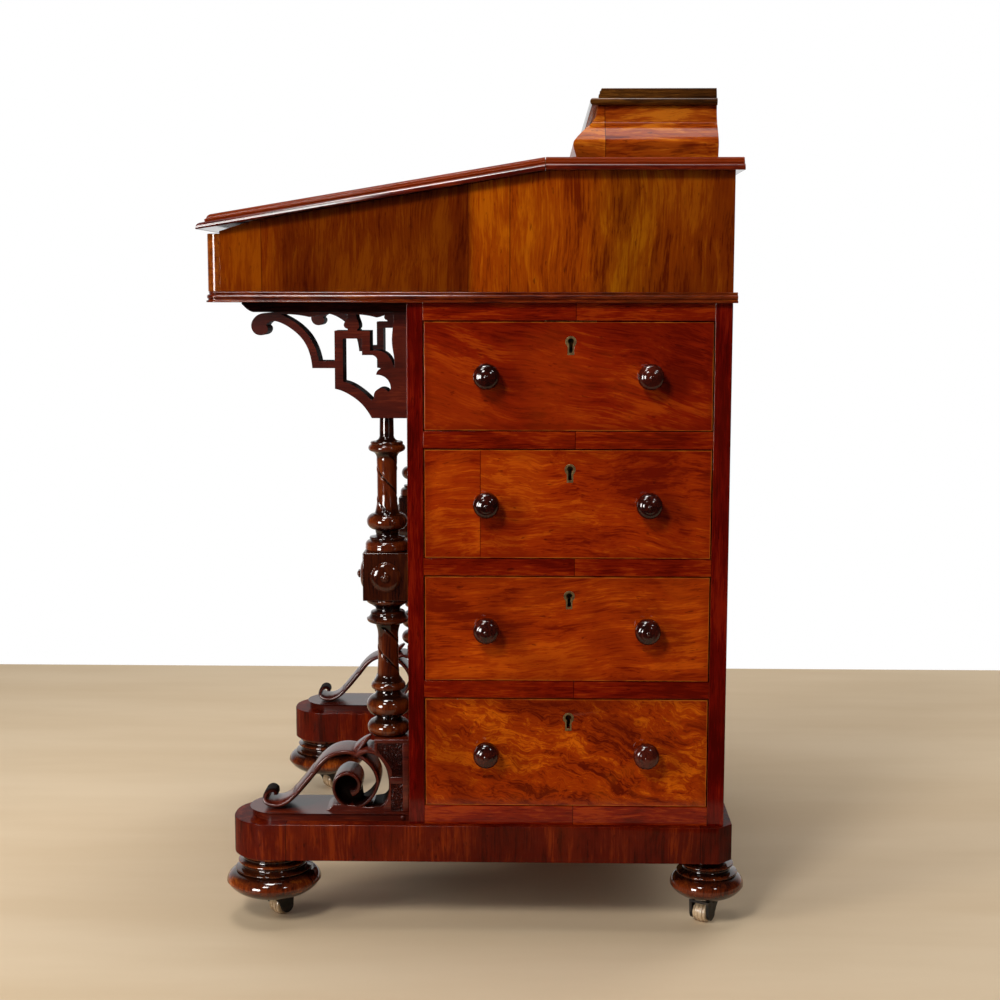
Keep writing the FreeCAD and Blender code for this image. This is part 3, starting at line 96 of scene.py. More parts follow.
def tube(rings):
    """A closed shell of rings given in millimetres: (ring, corner) points, sides, and a face at each end."""
    rings = np.asarray(rings, float)
    rows, corners = rings.shape[:2]
    first = np.arange(corners)
    ends = [first[::-1].tolist(), (first + (rows - 1) * corners).tolist()]
    return rings * MM, net(rows, corners, closed=True) + ends


def levelled(plans, levels):
    """Rings in plan, each with its own level, or with a level for each corner."""
    levels = np.asarray(levels, float)
    return np.concatenate([plans, np.broadcast_to(levels, plans.shape[:2])[..., None]], -1)


# %% [markdown]
# Some shells also say how dark each of their points is to be painted, from 0 to 1: painted shade in
# hollows, cuts and inner faces, and dust in turned hollows. The woods read it later.

# %% Sheets and their painted shade
def plaque(top, under, top_shade=0.0, rim_shade=0.0):
    """A thin closed sheet in millimetres: its worked top, a rim down to the under side, a flat under side.

    under(points) gives the points below those of the top.
    """
    rim = np.concatenate([top[:, 0], top[-1, 1:], top[-2::-1, -1], top[0, -2:0:-1]])
    sides, corners = np.stack([rim, under(rim)]), under(top)[[0, -1]][:, [0, -1]]
    return [(top * MM, net(*top.shape[:2]), np.broadcast_to(top_shade, top.shape[:2])),
            (sides * MM, net(2, len(rim), closed=True), np.full(sides.shape[:2], rim_shade)),
            (corners * MM, [[0, 1, 3, 2]])]


def darkened(shell, amount):
    """A clean shell darkened the same all over."""
    return *shell, np.full(shell[0].shape[:2], amount)


# %% Finished pieces
def gather(shells):
    """One set of points, faces and darkening out of several (points, faces) or (points, faces, darkening)
    shells.
    """
    points, faces, darkening, start = [], [], [], 0
    for shell_points, shell_faces, *shell_darkening in shells:
        flat = np.asarray(shell_points, float).reshape(-1, 3)
        points.append(flat)
        darkening.append(np.ravel(shell_darkening[0]) if shell_darkening else np.zeros(len(flat)))
        faces += [[corner + start for corner in face] for face in shell_faces]
        start += len(flat)
    return np.concatenate(points), faces, np.concatenate(darkening)


def hang(name, data):
    """A new object in the scene."""
    item = bpy.data.objects.new(name, data)
    bpy.context.scene.collection.objects.link(item)
    return item


def shade(mesh, crease):
    """Smooth shading, with edges sharper than so many degrees kept."""
    mesh.polygons.foreach_set("use_smooth", np.ones(len(mesh.polygons), bool))
    mesh.set_sharp_from_angle(angle=math.radians(crease))


def lay(name, shells, body, finish, slot, *nodes, crease=38):
    """A piece made of closed shells, with doubles merged and faces outwards, in place of its solids."""
    points, faces, darkening = gather(shells)
    mesh = bpy.data.meshes.new(name)
    mesh.from_pydata(points.tolist(), [], faces)
    # Each point keeps its darkening, mostly painted shade, for the wood to read.
    mesh.attributes.new("darkening", "FLOAT", "POINT").data.foreach_set("value", darkening.astype(np.float32))
    work = bmesh.new()
    work.from_mesh(mesh)
    bmesh.ops.remove_doubles(work, verts=work.verts, dist=2e-6)
    bmesh.ops.recalc_face_normals(work, faces=work.faces)
    work.to_mesh(mesh)
    work.free()
    shade(mesh, crease)
    mesh.materials.append(finish)
    piece = hang(name, mesh)
    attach(piece, body)
    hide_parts(*nodes)
    print(f"{name}: {len(mesh.polygons)} faces")


# %% [markdown]
# A moulding plane or a lathe tool follows a profile of straight runs and arcs, so `walk` draws
# such a line. Half of the desk is made of it: turned work spins the line round an axis, and a
# moulding carries it along the edge of a board.

# %% Profiles
def walk(start, *moves, fine=0.6):
    """Points along a line: (u, v) goes straight there, (u, v, rise) by an arc rising to the left."""
    points, last = [np.array([start], float)], np.array(start, float)
    for move in moves:
        end = np.array(move[:2], float)
        if len(move) == 2:
            points.append(end[None])
        else:
            chord, rise = end - last, move[2]
            length = np.hypot(*chord)
            ahead, left = chord / length, np.array([-chord[1], chord[0]]) / length
            half = 2 * math.atan(2 * abs(rise) / length)
            radius = length / 2 / math.sin(half)
            turn = np.linspace(-half, half, max(4, int(2 * radius * half / fine)) + 1)[1:, None]
            side = math.copysign(1, rise)
            centre = (last + end) / 2 + left * (rise - side * radius)
            points.append(centre + radius * (np.sin(turn) * ahead + side * np.cos(turn) * left))
        last = end
    return np.concatenate(points)


def through(points, each=10):
    """A smooth line through points: on each span, the Catmull-Rom blend of the four nearest points."""
    points = np.asarray(points, float)
    ends = np.concatenate([[2 * points[0] - points[1]], points, [2 * points[-1] - points[-2]]])
    a, b, c, d = ends[:-3, None], ends[1:-2, None], ends[2:-1, None], ends[3:, None]
    t = np.linspace(0, 1, each, endpoint=False)[None, :, None]
    line = 0.5 * (2 * b + (c - a) * t + (2 * a - 5 * b + 4 * c - d) * t**2 + (3 * b - a - 3 * c + d) * t**3)
    return np.concatenate([line.reshape(-1, points.shape[1]), points[-1:]])


# %% Turning and carrying
def spun(profile, origin, axis=(0, 0, 1), up=(1, 0, 0), sides=96, cut=None):
    """Turned work: point (k, a) = origin + axis * height_k + radius_k * (cos a * up + sin a * side).

    cut(angle, height) is how deep a tool cuts into the radius there.
    """
    axis, up = np.array(axis, float), np.array(up, float)
    side = np.cross(axis, up)
    angle = np.linspace(0, 2 * np.pi, sides, endpoint=False)[None, :]
    radius, height = profile[:, :1] * np.ones_like(angle), profile[:, 1:] * np.ones_like(angle)
    if cut is not None:
        radius = radius - cut(angle, height)
    ring = np.cos(angle)[..., None] * up + np.sin(angle)[..., None] * side
    points = np.array(origin) / MM + height[..., None] * axis + radius[..., None] * ring
    return points * MM, net(len(profile), sides, closed=True)


def carried(section, path):
    """A moulding: each point of a closed section (out, up) goes along a path in plan, mitred at turns."""
    path = np.asarray(path, float)
    run = np.diff(path, axis=0)
    run = run / np.hypot(*run.T)[:, None]
    out = np.stack([run[:, 1], -run[:, 0]], 1)
    before, after = np.concatenate([out[:1], out]), np.concatenate([out, out[-1:]])
    mitre = (before + after) / (1 + (before * after).sum(1))[:, None]
    return tube(levelled(path[:, None] + section[None, :, :1] * mitre[:, None], section[:, 1]))


# %% Boards
def slab(profile, x, y, sides=(1, 1, 1, 1)):
    """A board: one ring of four corners for each (inset, height), inset by its share on each side.

    sides are the shares of the left, right, front and back edge, 0 where the edge is plain.
    """
    inset, height = profile[:, 0], profile[:, 1]
    left, right = x[0] + inset * sides[0], x[1] - inset * sides[1]
    front, back = y[0] + inset * sides[2], y[1] - inset * sides[3]
    plans = np.stack([[left, right, right, left], [front, front, back, back]], -1).transpose(1, 0, 2)
    return tube(levelled(plans, height[:, None]))


def eased(low, high, ease=0.6):
    """A board between two corners whose arrises are rounded over: rings inset by a quarter circle."""
    low, high = np.array(low, float), np.array(high, float)
    turn = np.linspace(0, np.pi / 2, 4)
    rise = ease * (1 - np.cos(turn))
    draw = ease * (1 - np.sin(turn))
    inset, levels = np.concatenate([draw, draw[::-1]]), np.concatenate([low[2] + rise, high[2] - rise[::-1]])
    corners = np.array([[-1, -1], [1, -1], [1, 1], [-1, 1]])
    lean = turn[None, :] + np.array([np.pi, 1.5 * np.pi, 0, 0.5 * np.pi])[:, None]
    centre = np.where(corners > 0, high[:2] - ease, low[:2] + ease)
    radius = np.maximum(ease - inset, 0.02)[:, None, None, None]
    plans = centre[None, :, None] + radius * np.stack([np.cos(lean), np.sin(lean)], -1)[None]
    return tube(levelled(plans.reshape(len(inset), -1, 2), levels[:, None]))


# %% [markdown]
# Most boards keep the shape of their solid, and only need what sandpaper and a century of
# dusting do: no edge stays knife sharp. `softened` copies a solid, joins its loose triangles
# into whole faces, and lets a narrow bevel run along its edges.

# %% Soft edges on a board's own solid
def rows_of(items, name):
    """Three numbers of each vertex or face of a mesh, as rows."""
    values = np.empty(len(items) * 3, np.float32)
    items.foreach_get(name, values)
    return values.reshape(-1, 3)


def softened(node, body, finish, width=0.5, segments=2, gap=0.0, shaded_edges=False, panel=None):
    """A copy of a CAD node, merged, with every edge sharper than 32 degrees rounded to a width.

    gap draws the outermost Y and Z faces in. shaded_edges paints shade on every face that isn't square to X.
    panel is a second finish for those faces.
    """
    mesh = frame["nodes"][node].data.copy()
    work = bmesh.new()
    work.from_mesh(mesh)
    bmesh.ops.remove_doubles(work, verts=work.verts, dist=1e-6)
    bmesh.ops.dissolve_limit(work, angle_limit=math.radians(0.4), verts=work.verts, edges=work.edges)
    work.to_mesh(mesh)
    work.free()
    if gap:
        points = rows_of(mesh.vertices, "co")
        place = points[:, 1:]
        near, far = place < place.min(0) + 1e-5, place > place.max(0) - 1e-5
        place += gap * MM * (near * 1.0 - far)
        mesh.vertices.foreach_set("co", points.ravel())
    away = 1 - np.abs(rows_of(mesh.polygons, "normal")[:, 0])
    if shaded_edges:
        # Painted shade on the faces turned away from X, such as the sawn edges of a fret.
        darkening = mesh.attributes.new("darkening", "FLOAT", "FACE")
        darkening.data.foreach_set("value", (0.85 * away).astype(np.float32))
    shade(mesh, 38)
    mesh.materials.clear()
    mesh.materials.append(finish)
    if panel is not None:
        mesh.materials.append(panel)
        mesh.polygons.foreach_set("material_index", (away > 0.5).astype(np.int32))
    piece = hang(node + "_finished", mesh)
    bevel = piece.modifiers.new("worn_edges", "BEVEL")
    bevel.width, bevel.segments = width * MM, segments
    bevel.limit_method, bevel.angle_limit = "ANGLE", math.radians(32)
    bevel.harden_normals = True
    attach(piece, body)
    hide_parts(node)


# %% [markdown]
# ## The finishes
# French polish is many thin coats of shellac over the wood: a clear, hard gloss that lies over
# a deep colour. Each wood below is a recipe of nodes read from the place on the piece, so the
# grain runs with the board and not with the view. `Recipe` keeps the node writing short.

# %% Colour chart
def chart(red, green, blue):
    """A reading, 0 to 255 each, as the share of light given back: ((v + 0.055) / 1.055) ^ 2.4."""
    value = np.array([red, green, blue]) / 255
    return tuple(np.where(value > 0.04, ((value + 0.055) / 1.055) ** 2.4, value / 12.92).tolist())


# %% A short way to write node recipes
class Recipe:
    """A material or a world, built up node by node; an input is a number, a colour or another socket."""

    def __init__(self, name, kind="materials"):
        self.made = getattr(bpy.data, kind).new(name)
        self.made.use_nodes = True
        self.tree = self.made.node_tree
        self.tree.nodes.clear()
        self.coordinates = self.step("ShaderNodeTexCoord")
        self.place = self.coordinates.outputs["Object"]

    def step(self, kind, inputs=None, **settings):
        """Add a node, set it up and feed its inputs."""
        node = self.tree.nodes.new(kind)
        for key, value in settings.items():
            setattr(node, key, value)
        for key, value in (inputs or {}).items():
            socket = node.inputs[key]
            if isinstance(value, bpy.types.NodeSocket):
                self.tree.links.new(value, socket)
            else:
                socket.default_value = (*value, 1.0) if socket.type == "RGBA" else value
        return node

    def moved(self, vector, scale=(1, 1, 1), shift=(0, 0, 0), turn=(0, 0, 0)):
        """Turn, stretch and shift a place."""
        inputs = {"Vector": vector, "Scale": scale, "Location": shift, "Rotation": turn}
        return self.step("ShaderNodeMapping", inputs).outputs["Vector"]

    def noise(self, vector, scale, detail=3.0, rough=0.55, twist=0.0, out="Fac"):
        """Cloudy noise at so many patches to the metre."""
        inputs = {"Vector": vector, "Scale": scale, "Detail": detail, "Roughness": rough, "Distortion": twist}
        return self.step("ShaderNodeTexNoise", inputs).outputs[out]

    def sum(self, operation, a, b=0.0, c=0.0):
        """Arithmetic on single values."""
        return self.step("ShaderNodeMath", {0: a, 1: b, 2: c}, operation=operation).outputs[0]

    def warped(self, vector, scale, reach):
        """A place pushed about by slow noise, up to reach metres each way."""
        push = self.noise(vector, scale, 2.0, out="Color")
        push = self.step("ShaderNodeVectorMath", {0: push, 1: (0.5, 0.5, 0.5)}, operation="SUBTRACT")
        inputs = {0: push.outputs[0], 1: (2 * reach,) * 3, 2: vector}
        return self.step("ShaderNodeVectorMath", inputs, operation="MULTIPLY_ADD").outputs[0]

    def band(self, value, low, high, out_low=0.0, out_high=1.0, ease="SMOOTHSTEP"):
        """Spread low..high over out_low..out_high, smoothly unless told otherwise."""
        inputs = {"Value": value, "From Min": low, "From Max": high, "To Min": out_low, "To Max": out_high}
        return self.step("ShaderNodeMapRange", inputs, interpolation_type=ease).outputs["Result"]

    def blend(self, share, a, b, how="MIX"):
        """One colour into another by a share."""
        inputs = {"Factor": share, 6: a, 7: b}
        return self.step("ShaderNodeMix", inputs, data_type="RGBA", blend_type=how).outputs[2]

    def part(self, vector, axis):
        """One of the three lengths of a place."""
        return self.step("ShaderNodeSeparateXYZ", {0: vector}).outputs[axis]

    def joints(self, place, axis, at):
        """Leaves of veneer that meet at places along an axis: each has its own stretch of figure.

        Gives the place, pushed on 1.7 m along X and 0.9 m along Z at each joint, and the thin dark
        joint lines.
        """
        along = self.part(place, axis)
        count, lines = 0.0, 0.0
        for where in at:
            count = self.sum("ADD", count, self.sum("GREATER_THAN", along, where))
            gap = self.sum("ABSOLUTE", self.sum("SUBTRACT", along, where))
            lines = self.sum("ADD", lines, self.band(gap, 0.0002, 0.0007, 1.0, 0.0))
        push = {"X": self.sum("MULTIPLY", count, 1.7), "Y": 0.0, "Z": self.sum("MULTIPLY", count, 0.9)}
        push = self.step("ShaderNodeCombineXYZ", push).outputs[0]
        return self.step("ShaderNodeVectorMath", {0: place, 1: push}, operation="ADD").outputs[0], lines

    def rim(self, low, high):
        """Distance in metres from the nearest edge of a board's face that looks along X."""
        y, z = self.part(self.place, "Y"), self.part(self.place, "Z")
        pairs = [self.sum("MINIMUM", self.sum("SUBTRACT", value, near), self.sum("SUBTRACT", far, value))
                 for value, near, far in ((y, low.y, high.y), (z, low.z, high.z))]
        return self.sum("MINIMUM", *pairs)

    def tones(self, value, stops):
        """Colours that follow a length: stops are (length, colour), eased from one to the next."""
        low, high = stops[0][0], stops[-1][0]
        ramp = self.step("ShaderNodeValToRGB", {"Fac": self.band(value, low, high, ease="LINEAR")})
        ramp.color_ramp.interpolation = "EASE"
        while len(ramp.color_ramp.elements) < len(stops):
            ramp.color_ramp.elements.new(0.5)
        for element, (where, colour) in zip(ramp.color_ramp.elements, stops):
            element.position, element.color = (where - low) / (high - low), (*colour, 1.0)
        return ramp.outputs["Color"]

    def finish(self, colour, rough, height=None, depth=0.0003, coat=0.0, coat_rough=0.05, metal=0.0,
               gloss=0.5):
        """Close the recipe with one surface, its relief, and a thin clear polish over it."""
        surface = {"Base Color": colour, "Roughness": rough, "Metallic": metal, "Specular IOR Level": gloss,
                   "Coat Weight": coat, "Coat Roughness": coat_rough, "Coat IOR": 1.42}
        if height is not None:
            relief = {"Height": height, "Strength": 1.0, "Distance": depth}
            surface["Normal"] = self.step("ShaderNodeBump", relief).outputs[0]
        shader = self.step("ShaderNodeBsdfPrincipled", surface)
        self.step("ShaderNodeOutputMaterial", {"Surface": shader.outputs[0]})
        return self.made


# %% [markdown]
# ### Polished wood
# Walnut, mahogany and pine share one recipe. Slow noise bends the grain lines, and a tighter
# swirl makes burr of them. Three noises are laid over each other: soft clouds of tone, streaks that
# run with the grain, and hair-fine lines. Their sum picks a colour between dark, middle and
# pale. Short dark flecks are the open pores. Over it all lies a thin clear polish.

# %% Grain
ALONG = {"X": (0.12, 1, 1), "Y": (1, 0.12, 1), "Z": (1, 1, 0.12)}


def grain_of(r, place, stretch, bend, swirl, cloud, streak):
    """Clouds, streaks and hairs on a bent place: value = 0.40 clouds + 0.36 streaks + 0.24 hairs.

    Each of the three is about one half. stretch(share) is the scale that draws a noise out along
    the grain. Gives the value and the bent place.
    """
    bent = r.warped(place, 6.0, bend)
    if swirl:
        bent = r.warped(r.warped(bent, 24.0, swirl), 70.0, swirl * 0.35)
    clouds = r.noise(r.moved(bent, scale=stretch(0.4)), cloud, 4.0, 0.6, 0.6)
    streaks = r.noise(r.moved(bent, scale=stretch(0.12)), streak, 5.0, 0.66, 0.3)
    hairs = r.noise(r.moved(bent, scale=stretch(0.05)), streak * 5.0, 3.0, 0.6)
    fine = r.sum("MULTIPLY_ADD", streaks, 0.36, r.sum("MULTIPLY", hairs, 0.24))
    return r.sum("MULTIPLY_ADD", clouds, 0.4, fine), bent


def three_tones(r, value, spread, pale, mid, dark):
    """Dark under 0.5 - spread, the middle tone at 0.5, and pale over 0.5 + spread."""
    colour = r.blend(r.band(value, 0.5 - spread, 0.5), dark, mid)
    return r.blend(r.band(value, 0.5, 0.5 + spread), colour, pale)


# %% Wear of a board, and a painted highlight
def rubbed_and_lit_front(r, colour, dark, board):
    """A drawer front: dust has stayed inside its rim, and a pale line near its edges is worn polish and a
    painted highlight.
    """
    away = r.sum("ADD", r.rim(*board), r.band(r.noise(r.place, 90.0, 3.0), 0.3, 0.7, -0.0012, 0.0012))
    colour = r.blend(r.band(away, 0.002, 0.012, 0.35, 0.0), colour, dark)
    # The pale line 1.2 to 1.7 mm in from the edge: wear and a painted highlight along the edge.
    rubbed_and_lit = r.band(r.noise(r.place, 34.0, 3.0), 0.38, 0.6, 0.15, 0.75)
    rubbed_and_lit = r.sum("MULTIPLY", r.band(r.rim(*board), 0.0012, 0.0017, 1.0, 0.0), rubbed_and_lit)
    return r.blend(rubbed_and_lit, colour, chart(196, 104, 30))


def worn_edge(r, colour, coat, reeds, top):
    """The lid's edge: the reeds over its bead are worn and dull, the flat top keeps its figure.

    level = height over the top + distance in front of the hinge * tan(slope).
    """
    ahead = r.sum("MAXIMUM", r.sum("SUBTRACT", hinge_y, r.part(r.place, "Y")), 0.0)
    level = r.sum("MULTIPLY_ADD", ahead, math.tan(slope), r.sum("SUBTRACT", r.part(r.place, "Z"), board_top))
    face = r.band(level, -0.0007, -0.0003)
    worn = r.sum("SUBTRACT", r.band(level, -0.0080, -0.0070), face)
    colour = r.blend(r.sum("MULTIPLY", worn, 0.7), colour, reeds)
    return r.blend(face, colour, top), r.band(worn, 0.0, 1.0, coat, 0.12)


# %% Polished wood
# The near black that the darkening attribute blends in: painted shade, and dust in turned hollows.
SHADE_AND_GRIME = (0.0022, 0.0012, 0.001)


def polished_wood(name, tones, grain="Y", shift=(0, 0, 0), turn=(0, 0, 0), bend=0.012, swirl=0.0, cloud=16.0,
                  streak=130.0, contrast=1.0, patch=0.35, rough=0.34, coat=0.7, coat_rough=0.07, joints=(),
                  leaves=(), board=None, reeds=None, top=None, dulled=False):
    """Grain in three tones (chart readings: pale, middle, dark) under a clear gloss.

    leaves tints the sheet along Y. board is the box of a drawer front. reeds and top are readings
    for a lid's edge. The surface's own "darkening" attribute blackens it: painted shade in hollows,
    cuts, inner faces and sawn edges, and dust in turned hollows. Where dulled, it takes the polish too.
    """
    r = Recipe(name)
    pale, mid, dark = (chart(*tone) for tone in tones)
    place, seams = r.joints(r.place, "Y", joints) if joints else (r.place, None)
    place = r.moved(place, shift=shift, turn=turn)
    stretch = lambda amount: [amount if part < 1 else 1 for part in ALONG[grain]]
    value, bent = grain_of(r, place, stretch, bend, swirl, cloud, streak)
    spread = 0.075 / contrast
    colour = three_tones(r, value, spread, pale, mid, dark)
    tone = r.noise(place, 7.0, 3.0, 0.5, 0.8)
    colour = r.blend(r.band(tone, 0.5, 0.68, 0.0, patch), colour, dark)
    colour = r.blend(r.band(tone, 0.32, 0.48, patch * 0.7, 0.0), colour, pale)
    if leaves:
        stops = [(where, chart(*reading)) for where, reading in leaves]
        colour = r.blend(1.0, colour, r.tones(r.part(r.place, "Y"), stops), "MULTIPLY")
    pores = r.band(r.noise(r.moved(bent, scale=stretch(0.06)), 1300.0, 1.0), 0.62, 0.74)
    specks = r.band(r.noise(r.moved(bent, scale=stretch(0.3)), 260.0, 2.0), 0.66, 0.74)
    ink = [part * 0.3 for part in dark]
    for marks, depth in ((pores, 0.35), (specks, 0.5), (seams, 0.75)):
        if marks is not None:
            colour = r.blend(r.sum("MULTIPLY", marks, depth), colour, ink)
    if board:
        colour = rubbed_and_lit_front(r, colour, dark, board)
    if reeds:
        flat = three_tones(r, value, spread, *(chart(*tone) for tone in top))
        colour, coat = worn_edge(r, colour, coat, chart(*reeds), flat)
    # Painted shade, and dust in turned hollows, from the piece's own darkening attribute.
    darkening = r.step("ShaderNodeAttribute", attribute_name="darkening").outputs["Fac"]
    colour = r.blend(darkening, colour, SHADE_AND_GRIME)
    if dulled:
        coat = r.sum("MULTIPLY", r.band(darkening, 0.15, 0.7, 1.0, 0.1), coat)
    roughness = r.band(r.noise(place, 28.0, 3.0), 0.3, 0.7, rough - 0.07, rough + 0.1)
    height = r.sum("MULTIPLY_ADD", pores, -0.25, r.noise(place, 13.0, 1.0))
    return r.finish(colour, roughness, height, coat=coat, coat_rough=coat_rough, gloss=0.0)


# %% Veneers of the drawers
def drawer_wood(number, tones, **settings):
    """The leaf of one drawer front."""
    return polished_wood(f"drawer_walnut_{number}", tones, contrast=0.75, patch=0.45,
                         board=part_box(f"drawer_front_{number}"), **settings)


drawer_woods = [
    drawer_wood(1, ((172, 62, 8), (136, 29, 3), (100, 14, 1)), shift=(0.3, 0, 0.1), turn=(0.2, 0, 0),
                bend=0.02),
    drawer_wood(2, ((200, 84, 10), (162, 48, 4), (112, 20, 2)), shift=(0.9, 0.3, 0.6), turn=(0.08, 0, 0),
                bend=0.03, swirl=0.003, joints=(0.002,)),
    drawer_wood(3, ((198, 82, 10), (162, 52, 5), (116, 26, 2)), shift=(1.7, 0.8, 0.2), turn=(-0.06, 0, 0),
                bend=0.02),
    drawer_wood(4, ((208, 98, 10), (158, 52, 4), (98, 22, 2)), shift=(2.6, 0.1, 0.9), turn=(0.3, 0, 0),
                bend=0.03, swirl=0.014, cloud=22.0)]
closed_side_wood = polished_wood("closed_side_walnut", ((172, 76, 10), (136, 42, 4), (86, 16, 2)), "Y",
                                 (3.1, 0.2, 0.4), (0.1, 0, 0), 0.03, 0.003)

# %% Woods of the case
stile_wood = polished_wood("stile_mahogany", ((126, 24, 5), (98, 8, 2), (72, 4, 1)), "Z", (0.1, 0.4, 0),
                           bend=0.005, streak=190.0, patch=0.25, coat=0.5)
panel_wood = polished_wood("panel_walnut", ((150, 74, 16), (116, 46, 8), (74, 22, 4)), "Z", (1.1, 0.4, 0.7),
                           bend=0.02, cloud=14.0, streak=110.0, contrast=0.8, coat=0.6)
rail_wood = polished_wood("rail_mahogany", ((156, 50, 6), (124, 24, 3), (92, 12, 1)), "Y",
                          bend=0.005, streak=190.0, patch=0.25, joints=(0.1,), coat=0.45)
plinth_wood = polished_wood("plinth_veneer", ((120, 38, 6), (84, 15, 3), (54, 7, 1)), "Z", (0.4, 0, 0),
                            bend=0.01, cloud=24.0, streak=100.0, joints=(-0.205, 0.235), contrast=0.7,
                            coat=0.22)
# Painted shade: the bearers under the box are coloured near black, as they stand in its shade.
shaded_bearer_wood = polished_wood("bearer_walnut_in_shade", ((52, 16, 8), (34, 8, 4), (16, 3, 2)), "Y",
                            bend=0.006, streak=130.0, coat=0.2, rough=0.5)
inner_pine = polished_wood("drawer_lining_pine", ((196, 152, 98), (172, 126, 78), (140, 94, 52)), "X",
                           bend=0.004, streak=120.0, rough=0.6, coat=0.0)

# %% Woods of the writing box
leaf_tints = ((-0.28, (186, 160, 90)), (-0.225, (182, 158, 90)), (-0.19, (152, 130, 90)),
              (-0.05, (160, 138, 90)), (-0.015, (150, 124, 90)), (0.0, (236, 214, 120)),
              (0.09, (240, 224, 130)), (0.15, (206, 214, 120)), (0.2, (196, 180, 120)),
              (0.27, (176, 150, 130)))
box_wood = polished_wood("writing_box_walnut", ((202, 112, 20), (168, 76, 9), (116, 38, 4)), "Z",
                         (0.2, 0.6, 0), cloud=14.0, streak=120.0, joints=(-0.2218, -0.0106, 0.032),
                         leaves=leaf_tints, contrast=0.8)
front_wood = polished_wood("box_front_walnut", ((166, 92, 26), (132, 62, 10), (90, 30, 4)), "X",
                           (0.5, 0.2, 0.1), bend=0.015)
gallery_wood = polished_wood("gallery_walnut", ((192, 104, 22), (152, 62, 9), (100, 26, 4)), "Y",
                             (0.7, 0, 0.4), bend=0.02, cloud=22.0, streak=110.0, joints=(0.1286,), coat=0.4)
moulding_wood = polished_wood("moulding_walnut", ((138, 62, 16), (106, 34, 8), (62, 12, 3)), "Y",
                              bend=0.005, streak=180.0, patch=0.3, coat=0.9)
edge_wood = polished_wood("lid_edge_walnut", ((112, 36, 12), (80, 16, 6), (44, 6, 3)), "Y", (0.2, 0, 0),
                          bend=0.005, streak=180.0, patch=0.3, coat=0.9, reeds=(126, 46, 12),
                          top=((146, 70, 16), (112, 44, 8), (74, 22, 4)))
cap_wood = polished_wood("gallery_lid_walnut", ((98, 58, 18), (68, 36, 10), (38, 18, 5)), "Y", (0.1, 0, 0.8),
                         bend=0.006, streak=180.0, coat=0.9)

# %% Woods of turned and carved work
turned_walnut = polished_wood("turned_walnut", ((132, 60, 20), (96, 36, 12), (52, 14, 6)), "Z",
                              bend=0.006, cloud=30.0, streak=120.0, coat=1.0, contrast=0.7)
bun_walnut = polished_wood("bun_walnut", ((168, 84, 24), (112, 44, 14), (60, 20, 8)), "Z", (0.6, 0.1, 0),
                           bend=0.01, swirl=0.004, cloud=34.0, streak=110.0, coat=1.0, contrast=0.8)
knob_wood = polished_wood("knob_walnut", ((82, 26, 14), (52, 12, 7), (28, 6, 4)), "X",
                          bend=0.004, streak=160.0, rough=0.25, coat=1.0, coat_rough=0.11)
carved_walnut = polished_wood("carved_walnut", ((106, 36, 16), (76, 20, 9), (48, 10, 5)), "Y",
                              bend=0.006, coat=0.8, contrast=0.6, coat_rough=0.22, dulled=True)
print(len(bpy.data.materials), "finishes")

# %% [markdown]
# ### Brass, iron, ceramic and leather
# The keyhole rims and the hinges are brass gone brown in clouds. The castor forks are bronzed
# iron, and the wheels are glazed cream ceramic with brown wear in patches.

# %% Small finishes
def aged_brass():
    """Brown tarnish in clouds over yellow metal."""
    r = Recipe("aged_brass")
    cloud = r.noise(r.place, 220.0, 4.0)
    colour = r.blend(r.band(cloud, 0.4, 0.62), chart(150, 122, 78), chart(88, 66, 38))
    return r.finish(colour, r.band(cloud, 0.35, 0.65, 0.3, 0.5), cloud, 0.0001, metal=0.8)


def bronzed_iron():
    """Near black metal, browner in clouds."""
    r = Recipe("bronzed_iron")
    cloud = r.noise(r.place, 160.0, 4.0)
    colour = r.blend(r.band(cloud, 0.45, 0.7), chart(22, 19, 18), chart(58, 46, 34))
    return r.finish(colour, r.band(cloud, 0.3, 0.7, 0.35, 0.55), cloud, 0.00015, metal=0.5)


def cream_glaze():
    """Warm white glaze with brown wear in patches."""
    r = Recipe("cream_glaze")
    darkening = r.noise(r.place, 120.0, 5.0, 0.65)
    colour = r.blend(r.band(darkening, 0.46, 0.68, 0.0, 0.8), chart(206, 180, 146), chart(128, 98, 66))
    return r.finish(colour, 0.3, darkening, 0.0002, coat=0.4)


def writing_leather():
    """Dark red leather: small cells with creases between them, and darker in clouds."""
    r = Recipe("writing_leather")
    cells = r.step("ShaderNodeTexVoronoi", {"Vector": r.warped(r.place, 60.0, 0.002), "Scale": 620.0},
                   feature="DISTANCE_TO_EDGE").outputs["Distance"]
    crease = r.band(cells, 0.0, 0.18)
    worn = r.noise(r.place, 9.0, 4.0)
    colour = r.blend(r.band(worn, 0.35, 0.65), (0.1, 0.012, 0.008), (0.05, 0.006, 0.005))
    colour = r.blend(crease, (0.03, 0.003, 0.003), colour)
    return r.finish(colour, r.band(worn, 0.3, 0.7, 0.38, 0.55), crease, 0.00025)


brass, iron, glaze, leather = aged_brass(), bronzed_iron(), cream_glaze(), writing_leather()

# %% [markdown]
# ## The camera, the floor and the light
# The desk is looked at square on to its drawer side, from three quarters of its height and a
# little downwards. The floor is plain and pale, and ends behind the desk, where the room is
# white. That white also lights the desk's far side and gives turned edges a bright rim. The
# room towards the viewer is dim, so dark polish stays dark. The main lamp stands high on the
# left and a soft one hangs overhead. A broad window at the left and a soft lamp behind the
# desk light the wood alone. Three panels are seen by the polish alone: they lay the long
# highlights on it and add no light to the wood.

